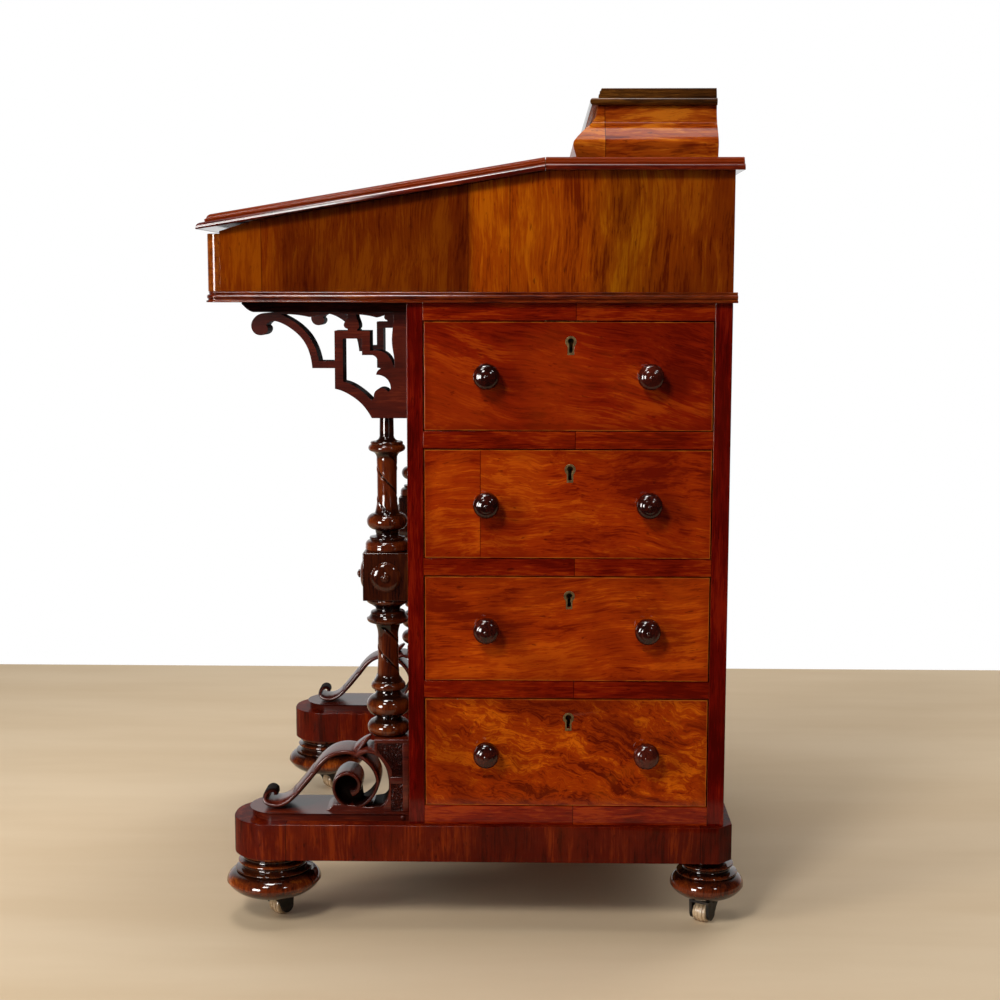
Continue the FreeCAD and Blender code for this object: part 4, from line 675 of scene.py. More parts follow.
# %% Camera
def look():
    """The camera: 1.98 m to the drawer side, turned 1.2 degrees to the left and 7.3 degrees down."""
    camera = hang("camera", bpy.data.cameras.new("camera"))
    down, left, roll = math.radians(7.291), math.radians(1.19), math.radians(0.083)
    ahead = Vector((-math.cos(down) * math.cos(left), -math.cos(down) * math.sin(left), -math.sin(down)))
    turn = ahead.to_track_quat("-Z", "Y").to_matrix() @ Matrix.Rotation(roll, 3, "Z")
    camera.matrix_world = Matrix.Translation((1.9762, 0.0578, 0.6828)) @ turn.to_4x4()
    camera.data.sensor_width, camera.data.lens = 36.0, 59.73
    bpy.context.scene.camera = camera
    return camera


camera = look()
bpy.context.scene.view_settings.view_transform = "Standard"
print("camera at", tuple(round(v, 3) for v in camera.location))

# %% Floor
def floor_finish():
    """Plain pale boards' colour, with hardly any pattern and a dull surface."""
    r = Recipe("pale_floor")
    cloud = r.noise(r.moved(r.place, scale=(1, 0.2, 1)), 6.0, 4.0)
    colour = r.blend(r.band(cloud, 0.3, 0.7), chart(212, 192, 162), chart(203, 181, 149))
    return r.finish(colour, 0.7, gloss=0.2)


def lay_floor():
    """One flat sheet, 6 m wide, from 0.97 m behind the desk's middle to 0.72 m in front of it."""
    x, y = np.linspace(-0.97, 0.72, 12), np.linspace(-3.0, 3.0, 16)
    across, along = np.meshgrid(x, y, indexing="ij")
    points = np.stack([across, along, np.zeros_like(across)], -1)
    mesh = bpy.data.meshes.new("floor")
    mesh.from_pydata(points.reshape(-1, 3).tolist(), [], net(12, 16))
    mesh.materials.append(floor_finish())
    hang("floor", mesh)


lay_floor()

# %% Lamps
def lamp(name, place, aim, size, radiance, tint=(1, 0.97, 0.94), wood=True, polish=True):
    """A soft rectangular lamp that faces a point: power = radiance * pi * width * height.

    wood and polish say which of the two it reaches.
    """
    light = bpy.data.lights.new(name, "AREA")
    light.shape, light.size, light.size_y = "RECTANGLE", size[0], size[1]
    light.energy, light.color = radiance * math.pi * size[0] * size[1], tint
    holder = hang(name, light)
    way = Vector(aim) - Vector(place)
    holder.matrix_world = Matrix.Translation(place) @ way.to_track_quat("-Z", "Y").to_matrix().to_4x4()
    holder.visible_diffuse, holder.visible_glossy = wood, polish


lamp("main_lamp", (2.0, -0.78, 2.0), (0.0, 0.0, 0.4), (0.5, 0.5), 38)
lamp("left_window", (1.45, -2.0, 1.1), (0.1, -0.1, 0.5), (0.7, 1.3), 11.0, polish=False)
lamp("over_head", (0.1, -0.2, 2.7), (0.0, 0.0, 0.5), (1.3, 1.3), 6.0)
lamp("rear_fill", (-2.0, 1.9, 1.7), (0.0, 0.1, 0.4), (1.4, 1.4), 5.0, polish=False)
lamp("left_panel", (1.75, -1.3, 0.56), (0.27, -0.2, 0.6), (0.6, 0.6), 46, wood=False)
lamp("top_panel", (0.75, -0.42, 2.3), (0.27, -0.2, 0.7), (0.5, 0.5), 40, wood=False)
lamp("right_panel", (2.05, 1.15, 1.6), (0.27, 0.0, 0.5), (0.25, 0.3), 34, (0.96, 0.98, 1.0), wood=False)

# %% Room
def room_light():
    """White for the eye; for the desk, pale from behind it and dim from the viewer's side.

    To the polish, brightness = 0.03 where the direction's x is over -0.35, rising smoothly to 1 at
    x = -0.9. To the wood it is 0.03 over 0.1, rising to 0.5 at x = -0.7.
    """
    r = Recipe("room", "worlds")
    bpy.context.scene.world = r.made
    seen_by = r.step("ShaderNodeLightPath").outputs
    x = r.part(r.coordinates.outputs["Generated"], "X")
    wood, polish = r.band(x, 0.1, -0.7, 0.03, 0.5), r.band(x, -0.35, -0.9, 0.03, 1.0)
    choice = {"Factor": seen_by["Is Glossy Ray"], "A": wood, "B": polish}
    room = r.step("ShaderNodeMix", choice).outputs["Result"]
    straight = r.sum("MAXIMUM", seen_by["Is Camera Ray"], seen_by["Is Transmission Ray"])
    light = {"Color": (1, 1, 1), "Strength": r.sum("MAXIMUM", straight, room)}
    r.step("ShaderNodeOutputWorld", {"Surface": r.step("ShaderNodeBackground", light).outputs[0]})


room_light()

# %% [markdown]
# ## Castors and feet
# The castors came ready made: a horned iron fork on a pin, and a grooved ceramic wheel. The
# feet are turned from one block each. The front pair is broad and flat, the rear pair smaller
# with a taller neck, and a lathe line spun round their own axis gives both.

# %% Castors
def wheel_of(corner):
    """Spin the wheel's line about its axle: a rounded tread with a groove in the middle and at each side."""
    low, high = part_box(f"castor_wheel_{corner}")
    joint = next(j for j in frame["joints"] if j["name"] == f"wheel_{corner}_roll")
    line = walk((2.1, -7.9), (8.2, -7.9), (10.5, -5.3, -0.8), (9.8, -4.8), (9.8, -3.8), (10.8, -3.4),
                (11.0, -1.0, -0.1), (10.3, -0.6), (10.3, 0.6), (11.0, 1.0), (10.8, 3.4, -0.1), (9.8, 3.8),
                (9.8, 4.8), (10.5, 5.3), (8.2, 7.9, -0.8), (2.1, 7.9), (2.1, -7.9))
    shell = spun(line, joint["pos_m"], joint["axis"], (0, 0, 1), 72)
    lay(f"wheel_{corner}", [shell], f"wheel_{corner}", glaze, "wheel_china", f"castor_wheel_{corner}")


for corner in ("front_right", "front_left", "rear_right", "rear_left"):
    wheel_of(corner)
    softened(f"castor_fork_{corner}", f"castor_{corner}", iron, 0.5)
softened("castor_sockets", "desk", iron, 0.3)

# %% [markdown]
# Turned work is painted darkest in its hollows: painted shade where the light falls least, with the
# wax and dust that settle there too. Each point of a lathe line gets its darkening from how far it
# lies inside its neighbours, and the wood's recipe reads that as the attribute "darkening".

# %% Painted shade in the hollows
def hollows(line, reach=5.0, depth=4.5, extra=0.0):
    """How much painted shade each point of a lathe line gets: how far it lies inside the widest radius near
    it.

    darkening = (widest radius within reach - radius) / depth, held between 0 and 0.9, then averaged
    along the line with weight = step * exp(-(distance / 3 mm)^2).
    """
    near = np.abs(line[:, None, 1] - line[None, :, 1]) < reach
    widest = np.where(near, line[None, :, 0], 0.0).max(1)
    darkening = np.clip((widest - line[:, 0]) / depth, 0, 0.9)
    steps = np.concatenate([[0], np.cumsum(np.hypot(*np.diff(line, axis=0).T))])
    weight = np.gradient(steps)[None] * np.exp(-((steps[:, None] - steps[None]) / 3.0) ** 2) + 1e-9
    return np.clip((weight * darkening).sum(1) / weight.sum(1) + extra, 0, 0.92)


def hollow_shaded(shell, line, cut=None, **settings):
    """A turned shell with the painted shade of its line on every ring, and in the tool's cuts."""
    points, faces = shell
    darkening = np.broadcast_to(hollows(line, **settings)[:, None], points.shape[:2])
    if cut is not None:
        angle = np.linspace(0, 2 * np.pi, points.shape[1], endpoint=False)[None]
        darkening = np.maximum(darkening, np.clip(cut(angle, line[:, 1:]) / 1.3, 0, 0.95))
    return points, faces, darkening


# %% Bun feet
bun_low, bun_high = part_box("bun_feet_front")
bun_height = (bun_high.z - bun_low.z) / MM
front_bun_y = (bun_low.y + bun_high.y) / 2
rear_bun_y = sum(corner.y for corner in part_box("bun_feet_rear")) / 2


def bun_line(r, bead, ledge, collar, shoulder, equator, belly):
    """Lathe line of a foot from the top down: bead, groove, thin ledge, groove, collar, flattened ball.

    bead, ledge, collar and belly are measured in from the radius r, shoulder down from the top,
    and equator up from the bottom to the widest ring.
    """
    top, k, core = bun_height, shoulder / 23, 6
    b, l, c = r - bead, r - ledge, r - collar - 0.1
    return walk((core, top), (b, top), (b - 0.1, top - 5.2 * k, 1.6), (b - 2.2, top - 6.0 * k),
                (b - 1.6, top - 10.6 * k, -1.1), (l - 0.1, top - 11.5 * k), (l - 0.1, top - 13.2 * k, 0.5),
                (l - 2.6, top - 14.1 * k), (l - 1.2, top - 18.8 * k, -1.5), (c, top - 20.1 * k),
                (c, top - 22.0 * k, 0.5), (c - 1.5, top - 23.0 * k), (r - 0.1, equator, 3.0),
                (r - belly, 0.05, 0.13 * math.hypot(belly, equator)), (core, 0.05), (core, top))


for name, line, y in (("front", bun_line(51.3, 15.6, 13.4, 10.3, 23.0, 15.5, 26.0), front_bun_y),
                      ("rear", bun_line(39.7, 17.0, 11.4, 7.1, 24.6, 12.5, 20.5), rear_bun_y)):
    # Painted shade in the feet's hollows.
    pair = [hollow_shaded(spun(line, (side * column_x, y, bun_low.z), sides=112), line, reach=4.0, depth=4.6)
            for side in (1, -1)]
    lay(f"feet_{name}", pair, "desk", bun_walnut, "turned_wood", f"bun_feet_{name}", crease=30)

# %% [markdown]
# ## The plinth and the case
# The plinth's two side members are wide enough to carry the scroll feet in front, and their
# front ends are sawn round. The case above is plain: a knee panel, a back, and rails with the
# drawers between them. All are veneered boards, so their solids only get softer edges. The knee
# panel and the back are faced with walnut, and edged with the stiles' mahogany.

# %% Plinth and case
for node in ("plinth_side_right", "plinth_side_left", "plinth_cross_rails"):
    softened(node, "desk", plinth_wood, 0.9, 3)
for node in ("case_front_board", "case_back_board"):
    softened(node, "desk", stile_wood, 0.5, panel=panel_wood)
softened("case_side_left", "desk", stile_wood, 0.5)
softened("drawer_rails", "desk", rail_wood, 0.5)
softened("top_bearers", "desk", shaded_bearer_wood, 0.8)
for node in ("drawer_runners", "case_bottom_board"):
    softened(node, "desk", inner_pine, 0.4)
softened("box_floor", "desk", panel_wood, 0.4)

# %% [markdown]
# ## The drawers
# Each front is faced with its own leaf of figured walnut, so no two look the same; the lowest
# is burr. The keyholes have thin brass rims let in flush. The knobs are turned from dark wood
# to a near ball with a faint dot in the middle, and each stands on a short flared neck.

# %% Drawers
SPIGOT = 15.9
knob_line = walk((0, 23.5), (1.6, 23.2, 0.15), (2.2, 22.9), (7.6, 21.6, 0.35), (13.3, 13.4, 2.2),
                 (8.4, 4.6, 2.2), (9.4, 2.4, -0.5), (9.4, 0.4, 0.4), (4.85, 0.02), (4.85, -SPIGOT),
                 (0, -SPIGOT))


def knobs_for(name, places, side, body, node, spigot=SPIGOT):
    """Knobs that stand out of the case on one side, at (y, z) places, with spigots of a length."""
    line = np.maximum(knob_line, (0, -spigot))
    shells = [spun(line, (side * case_half, y, z), (side, 0, 0), (0, 0, 1), 72) for y, z in places]
    lay(name, shells, body, knob_wood, "turned_wood", node)


knob_rows = []
for number in (1, 2, 3, 4):
    low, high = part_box(f"drawer_knobs_{number}")
    reach = (high.z - low.z) / 2
    row = [(low.y + reach, (low.z + high.z) / 2), (high.y - reach, (low.z + high.z) / 2)]
    knob_rows += row
    knobs_for(f"knobs_{number}", row, 1, f"drawer_{number}", f"drawer_knobs_{number}")
    drawer, front = f"drawer_{number}", drawer_woods[number - 1]
    softened(f"drawer_front_{number}", drawer, front, 0.5, 3, gap=0.7)
    softened(f"drawer_box_{number}", drawer, inner_pine, 0.4)
    softened(f"drawer_lock_{number}", drawer, brass, 0.15)
knobs_for("knobs_of_the_closed_side", knob_rows, -1, "desk", "dummy_knobs", spigot=5.9)
softened("dummy_drawer_fronts", "desk", closed_side_wood, 0.5, 3)
softened("dummy_escutcheons", "desk", brass, 0.15)

# %% [markdown]
# ## The writing box
# The box is a shallow tray with shaped sides. Its front corners are rounded over, and the
# veneer of each side is laid in leaves whose grain stands upright.

# %% Box walls and moulding
for node, wood in (("box_sides", box_wood), ("box_front", front_wood), ("box_back", box_wood)):
    softened(node, "desk", wood, 0.5)
mould_low, mould_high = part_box("box_moulding")
box_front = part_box("box_front")[0].y / MM
back, foot, head = mould_high.y / MM, mould_low.z / MM, mould_high.z / MM
half = case_half / MM


def skirt(section, corner=10.0, turn_steps=10):
    """A moulding round three sides of the box, with rounded front corners.

    A section point (out, height, set) lies out from the box's sides and set from its front. At the
    corner the two blend: place = centre + ((corner + out) cos a, -(corner + set) sin a), a = 0..90.
    """
    out, height, front_out = section[:, 0], section[:, 1], section[:, 2]
    angle = np.linspace(0, np.pi / 2, turn_steps)[:, None]
    x = half - corner + (corner + out) * np.cos(angle)
    y = box_front + corner - (corner + front_out) * np.sin(angle)
    right = np.concatenate([np.stack([half + out, np.full_like(out, back)], -1)[None], np.stack([x, y], -1)])
    left = right[::-1] * (-1, 1)
    return tube(levelled(np.concatenate([right, left]), height))


side_line = (0, foot) + walk(
    (0.0, 0.0), (6.9, 0.1), (6.9, 1.9, -0.35), (5.4, 2.5), (4.4, 2.7), (4.4, 3.4), (5.0, 3.7),
    (4.3, 8.0, -1.5), (3.0, 8.5), (2.6, 9.2), (3.2, 9.5), (3.0, 10.6, -0.25), (2.2, head - foot),
    (0.0, head - foot), fine=0.4)
set_in_front = np.where(side_line[:, 0] < 0.01, -5.9, 1.9 - 0.7 * (6.9 - side_line[:, 0]))
lay("box_foot_moulding", [skirt(np.column_stack([side_line, set_in_front]))], "desk", moulding_wood,
    "case_wood", "box_moulding", crease=30)

# %% [markdown]
# ## The lid, the top board and the gallery
# All three boards have an edge worked with a moulding plane. A board with such an edge is a
# stack of rings, each ring inset and raised as the profile says, with a flat on top. The lid
# is drawn level and then tipped to the slope about the hinge line.

# %% Moulded boards
thumb = walk((3.0, -13.5), (0.6, -13.5), (0.0, -12.8, 0.15), (0.3, -11.2, 0.1), (4.6, -7.3, 1.1), (6.6, -7.0),
             (7.4, -6.7), (7.0, -5.6), (7.6, -4.4, 0.3), (8.6, -3.9), (8.8, -3.2), (13.6, 0.0, 1.0), fine=0.4)
top_line = thumb + (0, board_top / MM)
width = (board_low.x / MM, board_high.x / MM)
lay("fixed_top", [slab(top_line, width, (board_low.y / MM, board_high.y / MM), (1, 1, 0, 0))], "desk",
    edge_wood, "case_wood", "top_board", crease=30)
lid_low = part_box("slope_board")[0]
run, tip_drop, rear_gap = (hinge_y - lid_low.y) / MM, 9.5, 0.4
length = (run + tip_drop * math.sin(slope)) / math.cos(slope)


def tipped(shell):
    """Turn a level shell, drawn from the hinge line at the origin, down to the slope."""
    points, *rest = shell
    turn = np.array(Matrix.Rotation(slope, 3, "X"))
    return np.asarray(points).reshape(-1, 3) @ turn.T + (0, hinge_y, board_top), *rest


points, faces = slab(thumb, width, (-length, -rear_gap), (1, 1, 1.3, 0))
rear = np.isclose(points[..., 1], -rear_gap * MM)
points[rear, 1] += points[rear, 2] * math.tan(slope)  # so that it hangs upright when tipped
lay("slope", [tipped((points, faces))], "slope_lid", edge_wood, "case_wood", "slope_board", crease=30)
print("lid length", round(length, 1))

# %% Leather on the slope
def skiver():
    """A thin sheet with one blind tooled line all round.

    height = 0.28 - 0.5 exp(-m / 0.8) - 0.35 exp(-((m - 9) / 1.1)^2) mm, where m is the distance
    from the edge: the edge dips, and the line is pressed in 9 mm from it.
    """
    border, gap, depth = 52.0, 0.3, 0.88
    x = np.linspace(-half + border + gap, half - border - gap, 240)
    y = np.linspace(-length + border + 8.0 + gap, -border - gap, 130)
    across, along = np.meshgrid(x, y, indexing="ij")
    margin = np.minimum.reduce([across - x[0], x[-1] - across, along - y[0], y[-1] - along])
    rise = 0.28 - 0.5 * np.exp(-margin / 0.8) - 0.35 * np.exp(-((margin - 9) / 1.1) ** 2)
    top = np.stack([across, along, rise], -1)
    return [tipped(shell) for shell in plaque(top, lambda part: part * (1, 1, 0) - (0, 0, depth))]


lay("writing_leather", skiver(), "slope_lid", leather, "skiver_leather", "slope_skiver", crease=60)

# %% Gallery
gallery_low, gallery_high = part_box("gallery_walls")
cap_low, cap_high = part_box("gallery_lid")
g_half, g_front, g_back = cap_high.x / MM, cap_low.y / MM, gallery_high.y / MM
g_foot, g_head = gallery_low.z / MM, gallery_high.z / MM
wall, face_half, face_y = 10.0, g_half - 8.0, g_front + 8.0
ogee_reach, rise = (gallery_high.x / MM - face_half) - 0.1, g_head - g_foot
shares = np.array([(0.0, 1.0), (0.036, 0.85), (0.226, 0.68), (0.524, 0.547), (0.863, 0.377), (1.0, 0.245),
                   (0.863, 0.0)])
face_line = through(shares * (ogee_reach, rise) + (0, g_foot), 8)
ogee = np.concatenate([face_line, [(-wall, g_foot), (-wall, g_head)]])
around = [(-face_half, g_back), (-face_half, face_y), (face_half, face_y), (face_half, g_back)]
back_wall = eased((wall - face_half, g_back - wall, g_foot),
                  (face_half - wall, g_back - 0.05, g_head - 1.3), 0.4)
lay("gallery_ogee", [carried(ogee, around), back_wall], "desk", gallery_wood, "veneer", "gallery_walls",
    crease=30)
nose, cap_thick = cap_low.z / MM, (cap_high.z - cap_low.z) / MM
nosing = (0, nose) + walk((3.4, 0.0), (3.4, 7.4, 3.3), (9.6, 7.7), (9.0, 8.5), (9.2, 11.6, 0.2), (10.2, 12.1),
                          (10.4, 15.2, 0.2), (11.6, 15.8), (12.6, cap_thick, 0.5), fine=0.5)
cap = slab(nosing, (-g_half, g_half), (g_front, g_back - 0.05), (1, 1, 1, 0))
lay("gallery_cap", [cap], "gallery_lid_body", cap_wood, "case_wood", "gallery_lid", crease=30)
for node, body in (("hinge_fixed_leaves", "desk"), ("slope_hinge_leaves", "slope_lid"),
                   ("gallery_hinge_leaves", "gallery_lid_body")):
    softened(node, body, brass, 0.2)

# %% [markdown]
# ## The columns
# The lathe line of each column has collars, coves and bulbs above and below a square block.
# Two thin grooves wind down both plain shafts: the tool cuts a notch into the radius wherever
# the angle and the height fall together. A turned boss is glued to two faces of the block.

# %% Lathe line of a column
column_top = (column_high.z - foot_z) / MM
block_mid = column_top - 167.2
upper, lower = block_mid + BLOCK_HALF[2], block_mid - BLOCK_HALF[2]
column_line = walk(
    (0, column_top), (7.3, column_top), (7.6, column_top - 18.0), (12.6, column_top - 25.0, -1.8),
    (16.4, column_top - 25.5), (16.8, column_top - 28.4, 0.6), (17.6, column_top - 29.0),
    (18.1, column_top - 35.4, 1.7), (13.8, column_top - 37.4), (10.9, column_top - 44.0, -1.0),
    (10.5, column_top - 57), (10.4, upper + 62), (13.0, upper + 40.8, -0.8), (13.4, upper + 40.0),
    (16.4, upper + 39.2), (17.0, upper + 23.4, 5.0), (13.0, upper + 21.8), (12.4, upper + 18.6),
    (12.6, upper + 16.0, -0.4), (18.4, upper + 14.8), (18.4, upper + 12.0, 0.6), (19.0, upper + 11.4),
    (23.2, upper + 5.4, 1.5), (23.4, upper + 3.0), (22.0, upper + 0.4, 0.5), (20, upper - 2), (20, lower + 2),
    (22.4, lower - 0.4), (23.1, lower - 2.8, 0.5), (19.0, lower - 6.4, 0.6), (14.4, lower - 9.6),
    (13.2, lower - 13, -0.6), (17.6, lower - 14.6), (18.4, lower - 17.6, 0.4), (19.2, lower - 19.2),
    (22.6, lower - 22.2, -0.4), (20.4, lower - 26.2, 0.7), (13.4, lower - 28.8), (11.0, lower - 44.0, -1.0),
    (11.0, 82), (12.0, 64.5), (15.0, 60.2), (15.4, 58.4, 0.3), (17.0, 50.6, 2.2), (12.8, 48.6),
    (16.6, 43.2, -0.9), (17.2, 22.4, 6.5), (13.2, 20.8), (16.2, 16.8, -0.6), (17.5, 0.6, 5.8), (17, 0),
    (0, 0))


# %% Winding grooves
def shaft_groove(hand):
    """Depth of the two winding cuts: each falls 64 mm for a turn, with a lip below, on the shafts only."""
    def cut(angle, height):
        phase = (height - 19.5 + hand * angle / np.pi * 32.0) / 32.0 % 1.0
        away = (phase - np.round(phase)) * 32.0
        on_upper = (height > upper + 43) & (height < column_top - 40)
        on_lower = (height > 66) & (height < lower - 31)
        notch = 1.6 * np.exp(-(away / 1.3) ** 2) - 0.4 * np.exp(-((away + 2.6) / 1.1) ** 2)
        return np.where(on_upper | on_lower, notch, 0.0)
    return cut


def filled(line, step=1.2):
    """The same line with points at least every step, so that a cut has points to move."""
    far = np.hypot(*np.diff(line, axis=0).T)
    count = np.maximum(1, np.ceil(far / step).astype(int))
    share = np.concatenate([np.arange(n) / n for n in count])
    start = np.repeat(np.arange(len(count)), count)
    points = line[start] + (line[start + 1] - line[start]) * share[:, None]
    return np.concatenate([points, line[-1:]])


# %% Columns and bosses
SIDES = ((1, "right"), (-1, "left"))
boss_line = walk((0, 7.9), (3.0, 7.0, 0.6), (4.3, 5.4, 0.6), (3.6, 4.5, 0.2), (5.0, 4.5), (5.4, 4.1),
                 (14.6, 1.9, 0.9), (15.0, 1.3), (15.6, 1.1, 0.1), (15.9, 0.6, 0.1), (15.9, 0.02), (0, 0.02),
                 fine=0.4)
line = filled(column_line)
# Painted shade on the thin neck under the bracket (0.7); the shaft below the block is darker by 0.2.
shaded_neck_darker_base = 0.7 * (line[:, 1] > column_top - 24) + 0.2 * (line[:, 1] < lower)
for side, name in SIDES:
    centre, cut = np.array([side * column_x, column_y, foot_z]), shaft_groove(side)
    mid = centre + (0, 0, block_mid * MM)
    # Painted shade in the column's hollows, grooves and neck; the block is darkened by 0.68 all over and the
    # bosses by 0.5.
    shells = [hollow_shaded(spun(line, centre, cut=cut, sides=144), line, cut, extra=shaded_neck_darker_base),
              darkened(eased(mid / MM - BLOCK_HALF, mid / MM + BLOCK_HALF, 0.8), 0.68)]
    for way in ((side, 0, 0), (0, -1, 0)):
        boss = spun(boss_line, mid + np.array(way) * BLOCK_HALF * MM, way, (0, 0, 1), 72)
        shells.append(darkened(boss, 0.5))
    lay(f"turned_column_{name}", shells, "desk", turned_walnut, "turned_wood", f"column_{name}")

# %% [markdown]
# ## The brackets and the scroll feet
# The brackets are fretted with a saw from one thick board, and their edges rounded with a
# file; those sawn edges get painted shade. The feet are carved: a flat ribbon of wood rolls into a
# small curl in front and a large volute behind, with a second scroll and a leaf against the base
# block. The ribbons' inner faces get painted shade. A thin web left in the middle of the volute
# keeps it strong; it is painted near black, as painted shade. Each foot stands on a slip with a
# plug in its side.

# %% Fretted brackets
for side in ("right", "left"):
    # The sawn edges of the frets are given painted shade.
    softened(f"fret_bracket_{side}", "desk", carved_walnut, 1.0, 3, shaded_edges=True)

# %% Ribbons
def ribbon(path, half_width, half_thick, crown, centre_x, notches=()):
    """A carved ribbon: at each step of a path in (y, z), a rounded oblong section across the run.

    Section angle a gives width * c(cos a) and thickness * c(sin a), where c(v) = sign(v) |v|^0.35;
    the outer face swells by the crown in the middle. A notch is a place in (y, z) where a narrow
    band is cut across the outer face.
    """
    line = np.asarray(path, float)
    ahead = np.gradient(line, axis=0)
    ahead = ahead / np.hypot(*ahead.T)[:, None]
    out = np.stack([-ahead[:, 1], ahead[:, 0]], 1)
    angle = np.linspace(0, 2 * np.pi, 44, endpoint=False)
    square = lambda v: np.sign(v) * np.abs(v) ** 0.35
    across, through_it = square(np.cos(angle)), square(np.sin(angle))
    steps = np.concatenate([[0], np.cumsum(np.hypot(*np.diff(line, axis=0).T))])
    half_width, half_thick = np.broadcast_to(half_width, len(line)), np.broadcast_to(half_thick, len(line))
    swell = np.broadcast_to(crown, len(line))[:, None] * (1 - across[None] ** 2) * (through_it > 0)[None]
    for place in notches:
        middle_of = steps[np.argmin(np.hypot(*(line - place).T))]
        swell = swell - 2.4 * np.exp(-((steps - middle_of) / 1.6) ** 4)[:, None] * (through_it > 0)[None]
    lift = half_thick[:, None] * through_it[None] + swell
    x = centre_x + half_width[:, None] * across[None]
    y = line[:, :1] + out[:, :1] * lift
    z = line[:, 1:] + out[:, 1:] * lift
    # Painted shade: the ribbon's inner face, turned in towards the scroll, is darkened nearly to black.
    inner_face_shade = np.broadcast_to(0.95 * np.clip(-through_it, 0, 1) ** 0.5, x.shape)
    return *tube(np.stack([x, y, z], -1)), inner_face_shade


# %% Plates and punched fields
def plate(outline, low, high, ease=0.8, order=(0, 1, 2), lower_ease=0.0):
    """A flat plate of an outline between two levels: rings inset by a quarter circle round its arrises.

    order puts the outline's two lengths and the level onto X, Y and Z.
    """
    ring = np.asarray(outline, float)
    ahead = np.roll(ring, -1, 0) - np.roll(ring, 1, 0)
    inward = np.stack([-ahead[:, 1], ahead[:, 0]], 1) / np.hypot(*ahead.T)[:, None]
    turn = np.linspace(0, np.pi / 2, 6)
    draw, climb = 1 - np.cos(turn), 1 - np.sin(turn)
    inset = np.concatenate([lower_ease * draw[::-1], ease * draw])
    level = np.concatenate([low + lower_ease * climb[::-1], high - ease * climb])
    return tube(levelled(ring[None] + inward[None] * inset[:, None, None], level[:, None])[..., order])


def punched_field(face_x, sink, left, right, z, seed):
    """A panel of small punched dents between two edges: a net whose points are pushed in by seeded chance."""
    rows, cols = int((z[1] - z[0]) / 0.65), int((right - left.min()) / 0.65)
    height = np.linspace(*z, rows)
    edge = np.interp(height, np.linspace(*z, len(left)), left)
    up = np.broadcast_to(height[:, None], (rows, cols))
    along = edge[:, None] + (right - edge[:, None]) * np.linspace(0, 1, cols)[None]
    dents = np.random.default_rng(seed).random(up.shape)
    inner = np.zeros_like(up)
    inner[1:-1, 1:-1] = 1
    outward = np.sign(sink)
    front = np.stack([face_x - outward * 0.7 * inner * (dents > 0.5) * (0.4 + 0.6 * dents), along, up], -1)
    back = lambda part: part * (0, 1, 1) + (face_x - sink, 0, 0)
    # Painted shade in the sunk field: the pushed-in dents are darkened to 0.9, the ground between them to
    # 0.55, and its rim to 0.8.
    return plaque(front, back, 0.55 + 0.35 * inner * (dents > 0.5), 0.8)


# %% Paths of the scrolls
face, base = case_face / MM, plinth_top / MM + SLIP_THICK
at = np.array([face, base])
roll = at + np.array([
    (-146.6, 12.6), (-147.2, 16.6), (-151.6, 18.2), (-156.6, 15.2), (-157.2, 8.6), (-151.6, 4.7),
    (-142.0, 4.2), (-132.0, 8.6), (-124.0, 16.0), (-115.0, 26.4), (-103.5, 40.6), (-93.4, 53.2),
    (-83.6, 60.4), (-72.0, 63.6), (-60.0, 62.2), (-48.4, 55.6), (-39.0, 45.0), (-35.1, 32.0),
    (-39.8, 17.4), (-50.4, 6.4), (-63.2, 3.4), (-75.0, 8.8), (-81.8, 21.6), (-79.6, 33.6),
    (-70.0, 40.2), (-60.0, 37.6), (-55.2, 29.6), (-57.6, 21.2), (-63.6, 18.2)])
roll_notches = at + np.array([(-122.5, 17.6), (-102.6, 41.8)])
sweep = at + np.array([(-57.6, 59.4), (-51.4, 63.2), (-44.4, 64.7), (-33.4, 60.2), (-25.0, 48.4),
                       (-21.4, 32.0), (-22.6, 16.4), (-29.4, 5.6), (-40.0, 3.0)])
leaf = at + np.array([(-60.4, 58.6), (-55.6, 65.6), (-50.0, 71.8), (-43.4, 77.6)])
hollow_side = through([(-33.4, 60.2), (-25.0, 48.4), (-21.4, 32.0), (-22.6, 16.4), (-28, 6.2)], 6)
block_edge = at + np.concatenate([[(0, 0), (0, 79.4), (-37.9, 79.4), (-37.9, 62.6)], hollow_side, [(-28, 0)]])
ramp_edge = at + np.concatenate([[(-20, -3), (-20, 6.4), (-45, 3.5), (-70, 6.4)],
                                 walk((-83.0, 6.4), (-95.0, -1.0, 1.7)), [(-95.0, -3)]])
web_edge = at + np.array([(-63.2, 3.6), (-75.0, 9.0), (-81.6, 21.6), (-79.4, 33.6), (-70.0, 40.0),
                          (-60.0, 37.4), (-55.4, 29.6), (-54.0, 20.0), (-52.6, 7.6)])
print("roll", len(roll), "points, block edge", len(block_edge))

# %% Ribbons of a foot
def bell(share, middle, spread):
    """exp(-((share - middle) / spread)^2)."""
    return np.exp(-((share - middle) / spread) ** 2)


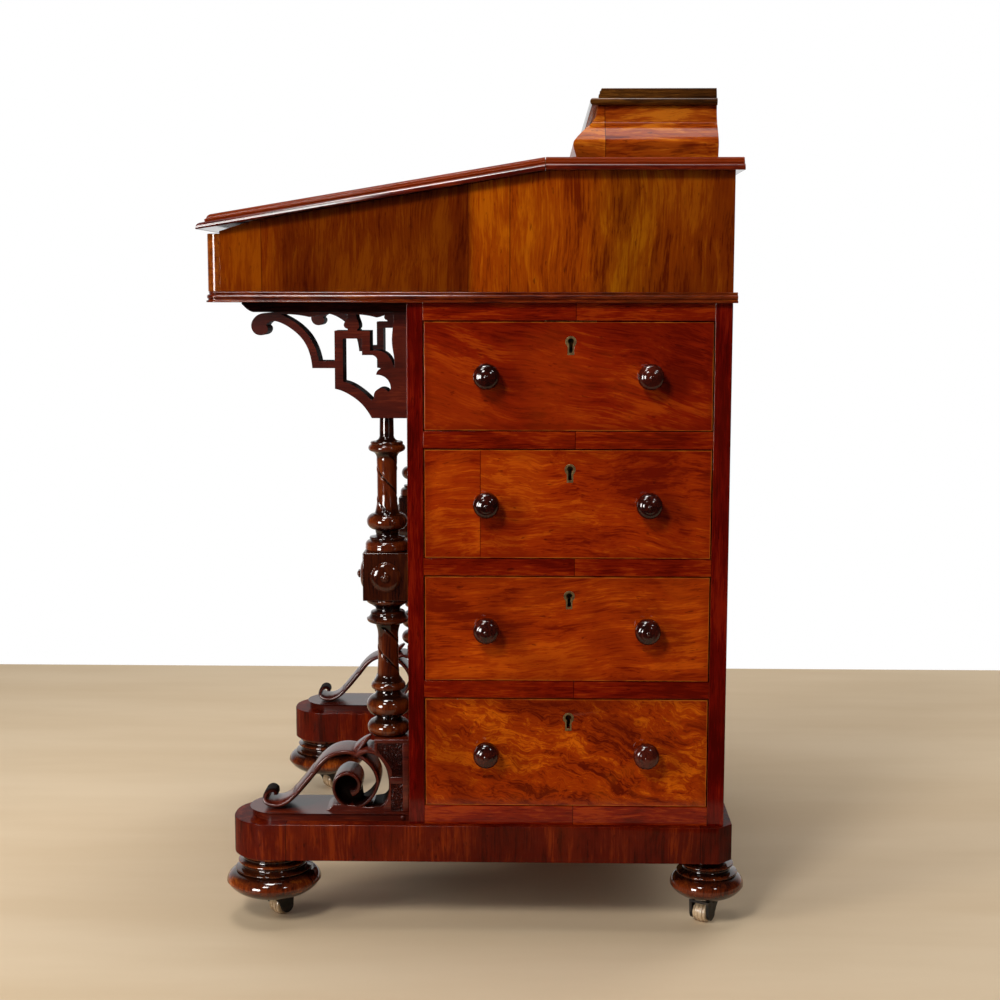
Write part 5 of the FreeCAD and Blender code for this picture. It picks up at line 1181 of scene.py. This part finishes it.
def foot_ribbons(middle):
    """The roll, the sweep and the leaf, each with its own width, thickness and crown along the way.

    With s the share of the way, the roll's half width is 21.8 less a bell of 13 at its front end
    and less 2 at its inner end. It is thickest in a bell about s = 0.36 and at the inner end.
    """
    rolled, swept, tip = through(roll), through(sweep), through(leaf)
    share, taper = np.linspace(0, 1, len(rolled)), np.linspace(1, 0, len(tip)) ** 0.7
    half_width = 21.8 - 13.0 * bell(share, 0, 0.12) - 2.0 * np.clip((share - 0.9) / 0.1, 0, 1)
    half_thick = 2.2 + 0.9 * bell(share, 0.36, 0.09) + 2.6 * np.clip((share - 0.93) / 0.07, 0, 1)
    return [ribbon(rolled, half_width, half_thick, 0.4 + 1.6 * bell(share, 0.3, 0.12), middle, roll_notches),
            ribbon(swept, 21.9, 1.9 + 1.8 * bell(np.linspace(0, 1, len(swept)), 0, 0.16), 0.5, middle),
            ribbon(tip, 2.5 + 17.5 * taper, 1.0 + 3.4 * taper, 1.8 * taper, middle)]


# %% Panels of a foot's block
def foot_panels(middle, out):
    """Border strips and two punched fields on the block's right (out 1) or left (out -1) face."""
    front_of_field = np.array([-20.5, -19.4, -19.0, -21.6, -26.0, -31.2, -34.4, -34.4])
    x = sorted((middle + out * 23.5, middle + out * 25.6))
    shells = [eased((x[0], face + y[0], base + z[0]), (x[1], face + y[1], base + z[1]), 0.5)
              for y, z in (((-37.6, -1.2), (75.4, 79.2)), ((-7.6, -1.2), (0.6, 75.6)),
                           ((-20.5, -7.4), (31.0, 38.4)), ((-37.6, -34.6), (64.4, 75.6)))]
    for left, low, high, seed in ((front_of_field[1:], 38.2, 75.6, 3), (front_of_field[:1], 1.0, 31.2, 5)):
        shells += punched_field(middle + out * 24.9, out * 1.4, face + left, face - 7.4,
                                (base + low, base + high), seed)
    return shells


# %% Slip under a foot
def foot_slip(middle, side, half_slip=30.9, bow=24.8, reach=172.9):
    """The slip, with a round front end, and the small plug let into its outer side."""
    left, right, nose_y = middle - half_slip, middle + half_slip, face - reach + bow
    round_end = walk((left, nose_y), (right, nose_y, -bow), fine=2.0)
    slip = np.concatenate([[(right, face), (left, face)], round_end])
    plug = walk((0, 1.9), (2.9, 0.2, 0.8), (2.9, -2.0), (0, -2.0))
    plug_place = np.array([middle + side * half_slip, face - 7.5, base - 4.6]) * MM
    return [plate(slip[::-1], plinth_top / MM, base, 2.6),
            spun(plug, plug_place, (side, 0, 0), (0, 0, 1), 24)]


# %% Scroll feet
def crosswise(outline, middle, reach, ease):
    """A plate of an outline seen from the side, reaching as far to the left as to the right."""
    return plate(outline, middle - reach, middle + reach, ease, (2, 0, 1), ease)


for side, name in SIDES:
    middle = side * column_x / MM
    shells = [*foot_ribbons(middle), crosswise(block_edge, middle, 24, 0.6),
              crosswise(ramp_edge, middle, 21.8, 0.8),
              # The web is painted near black: painted shade inside the volute.
              darkened(crosswise(web_edge[::-1], middle, 9, 0.6), 0.96),
              *foot_panels(middle, 1), *foot_panels(middle, -1), *foot_slip(middle, side)]
    lay(f"carved_foot_{name}", shells, "desk", carved_walnut, "turned_wood", f"scroll_bracket_{name}")

# %% [markdown]
# ## Close

# %% Close
import json
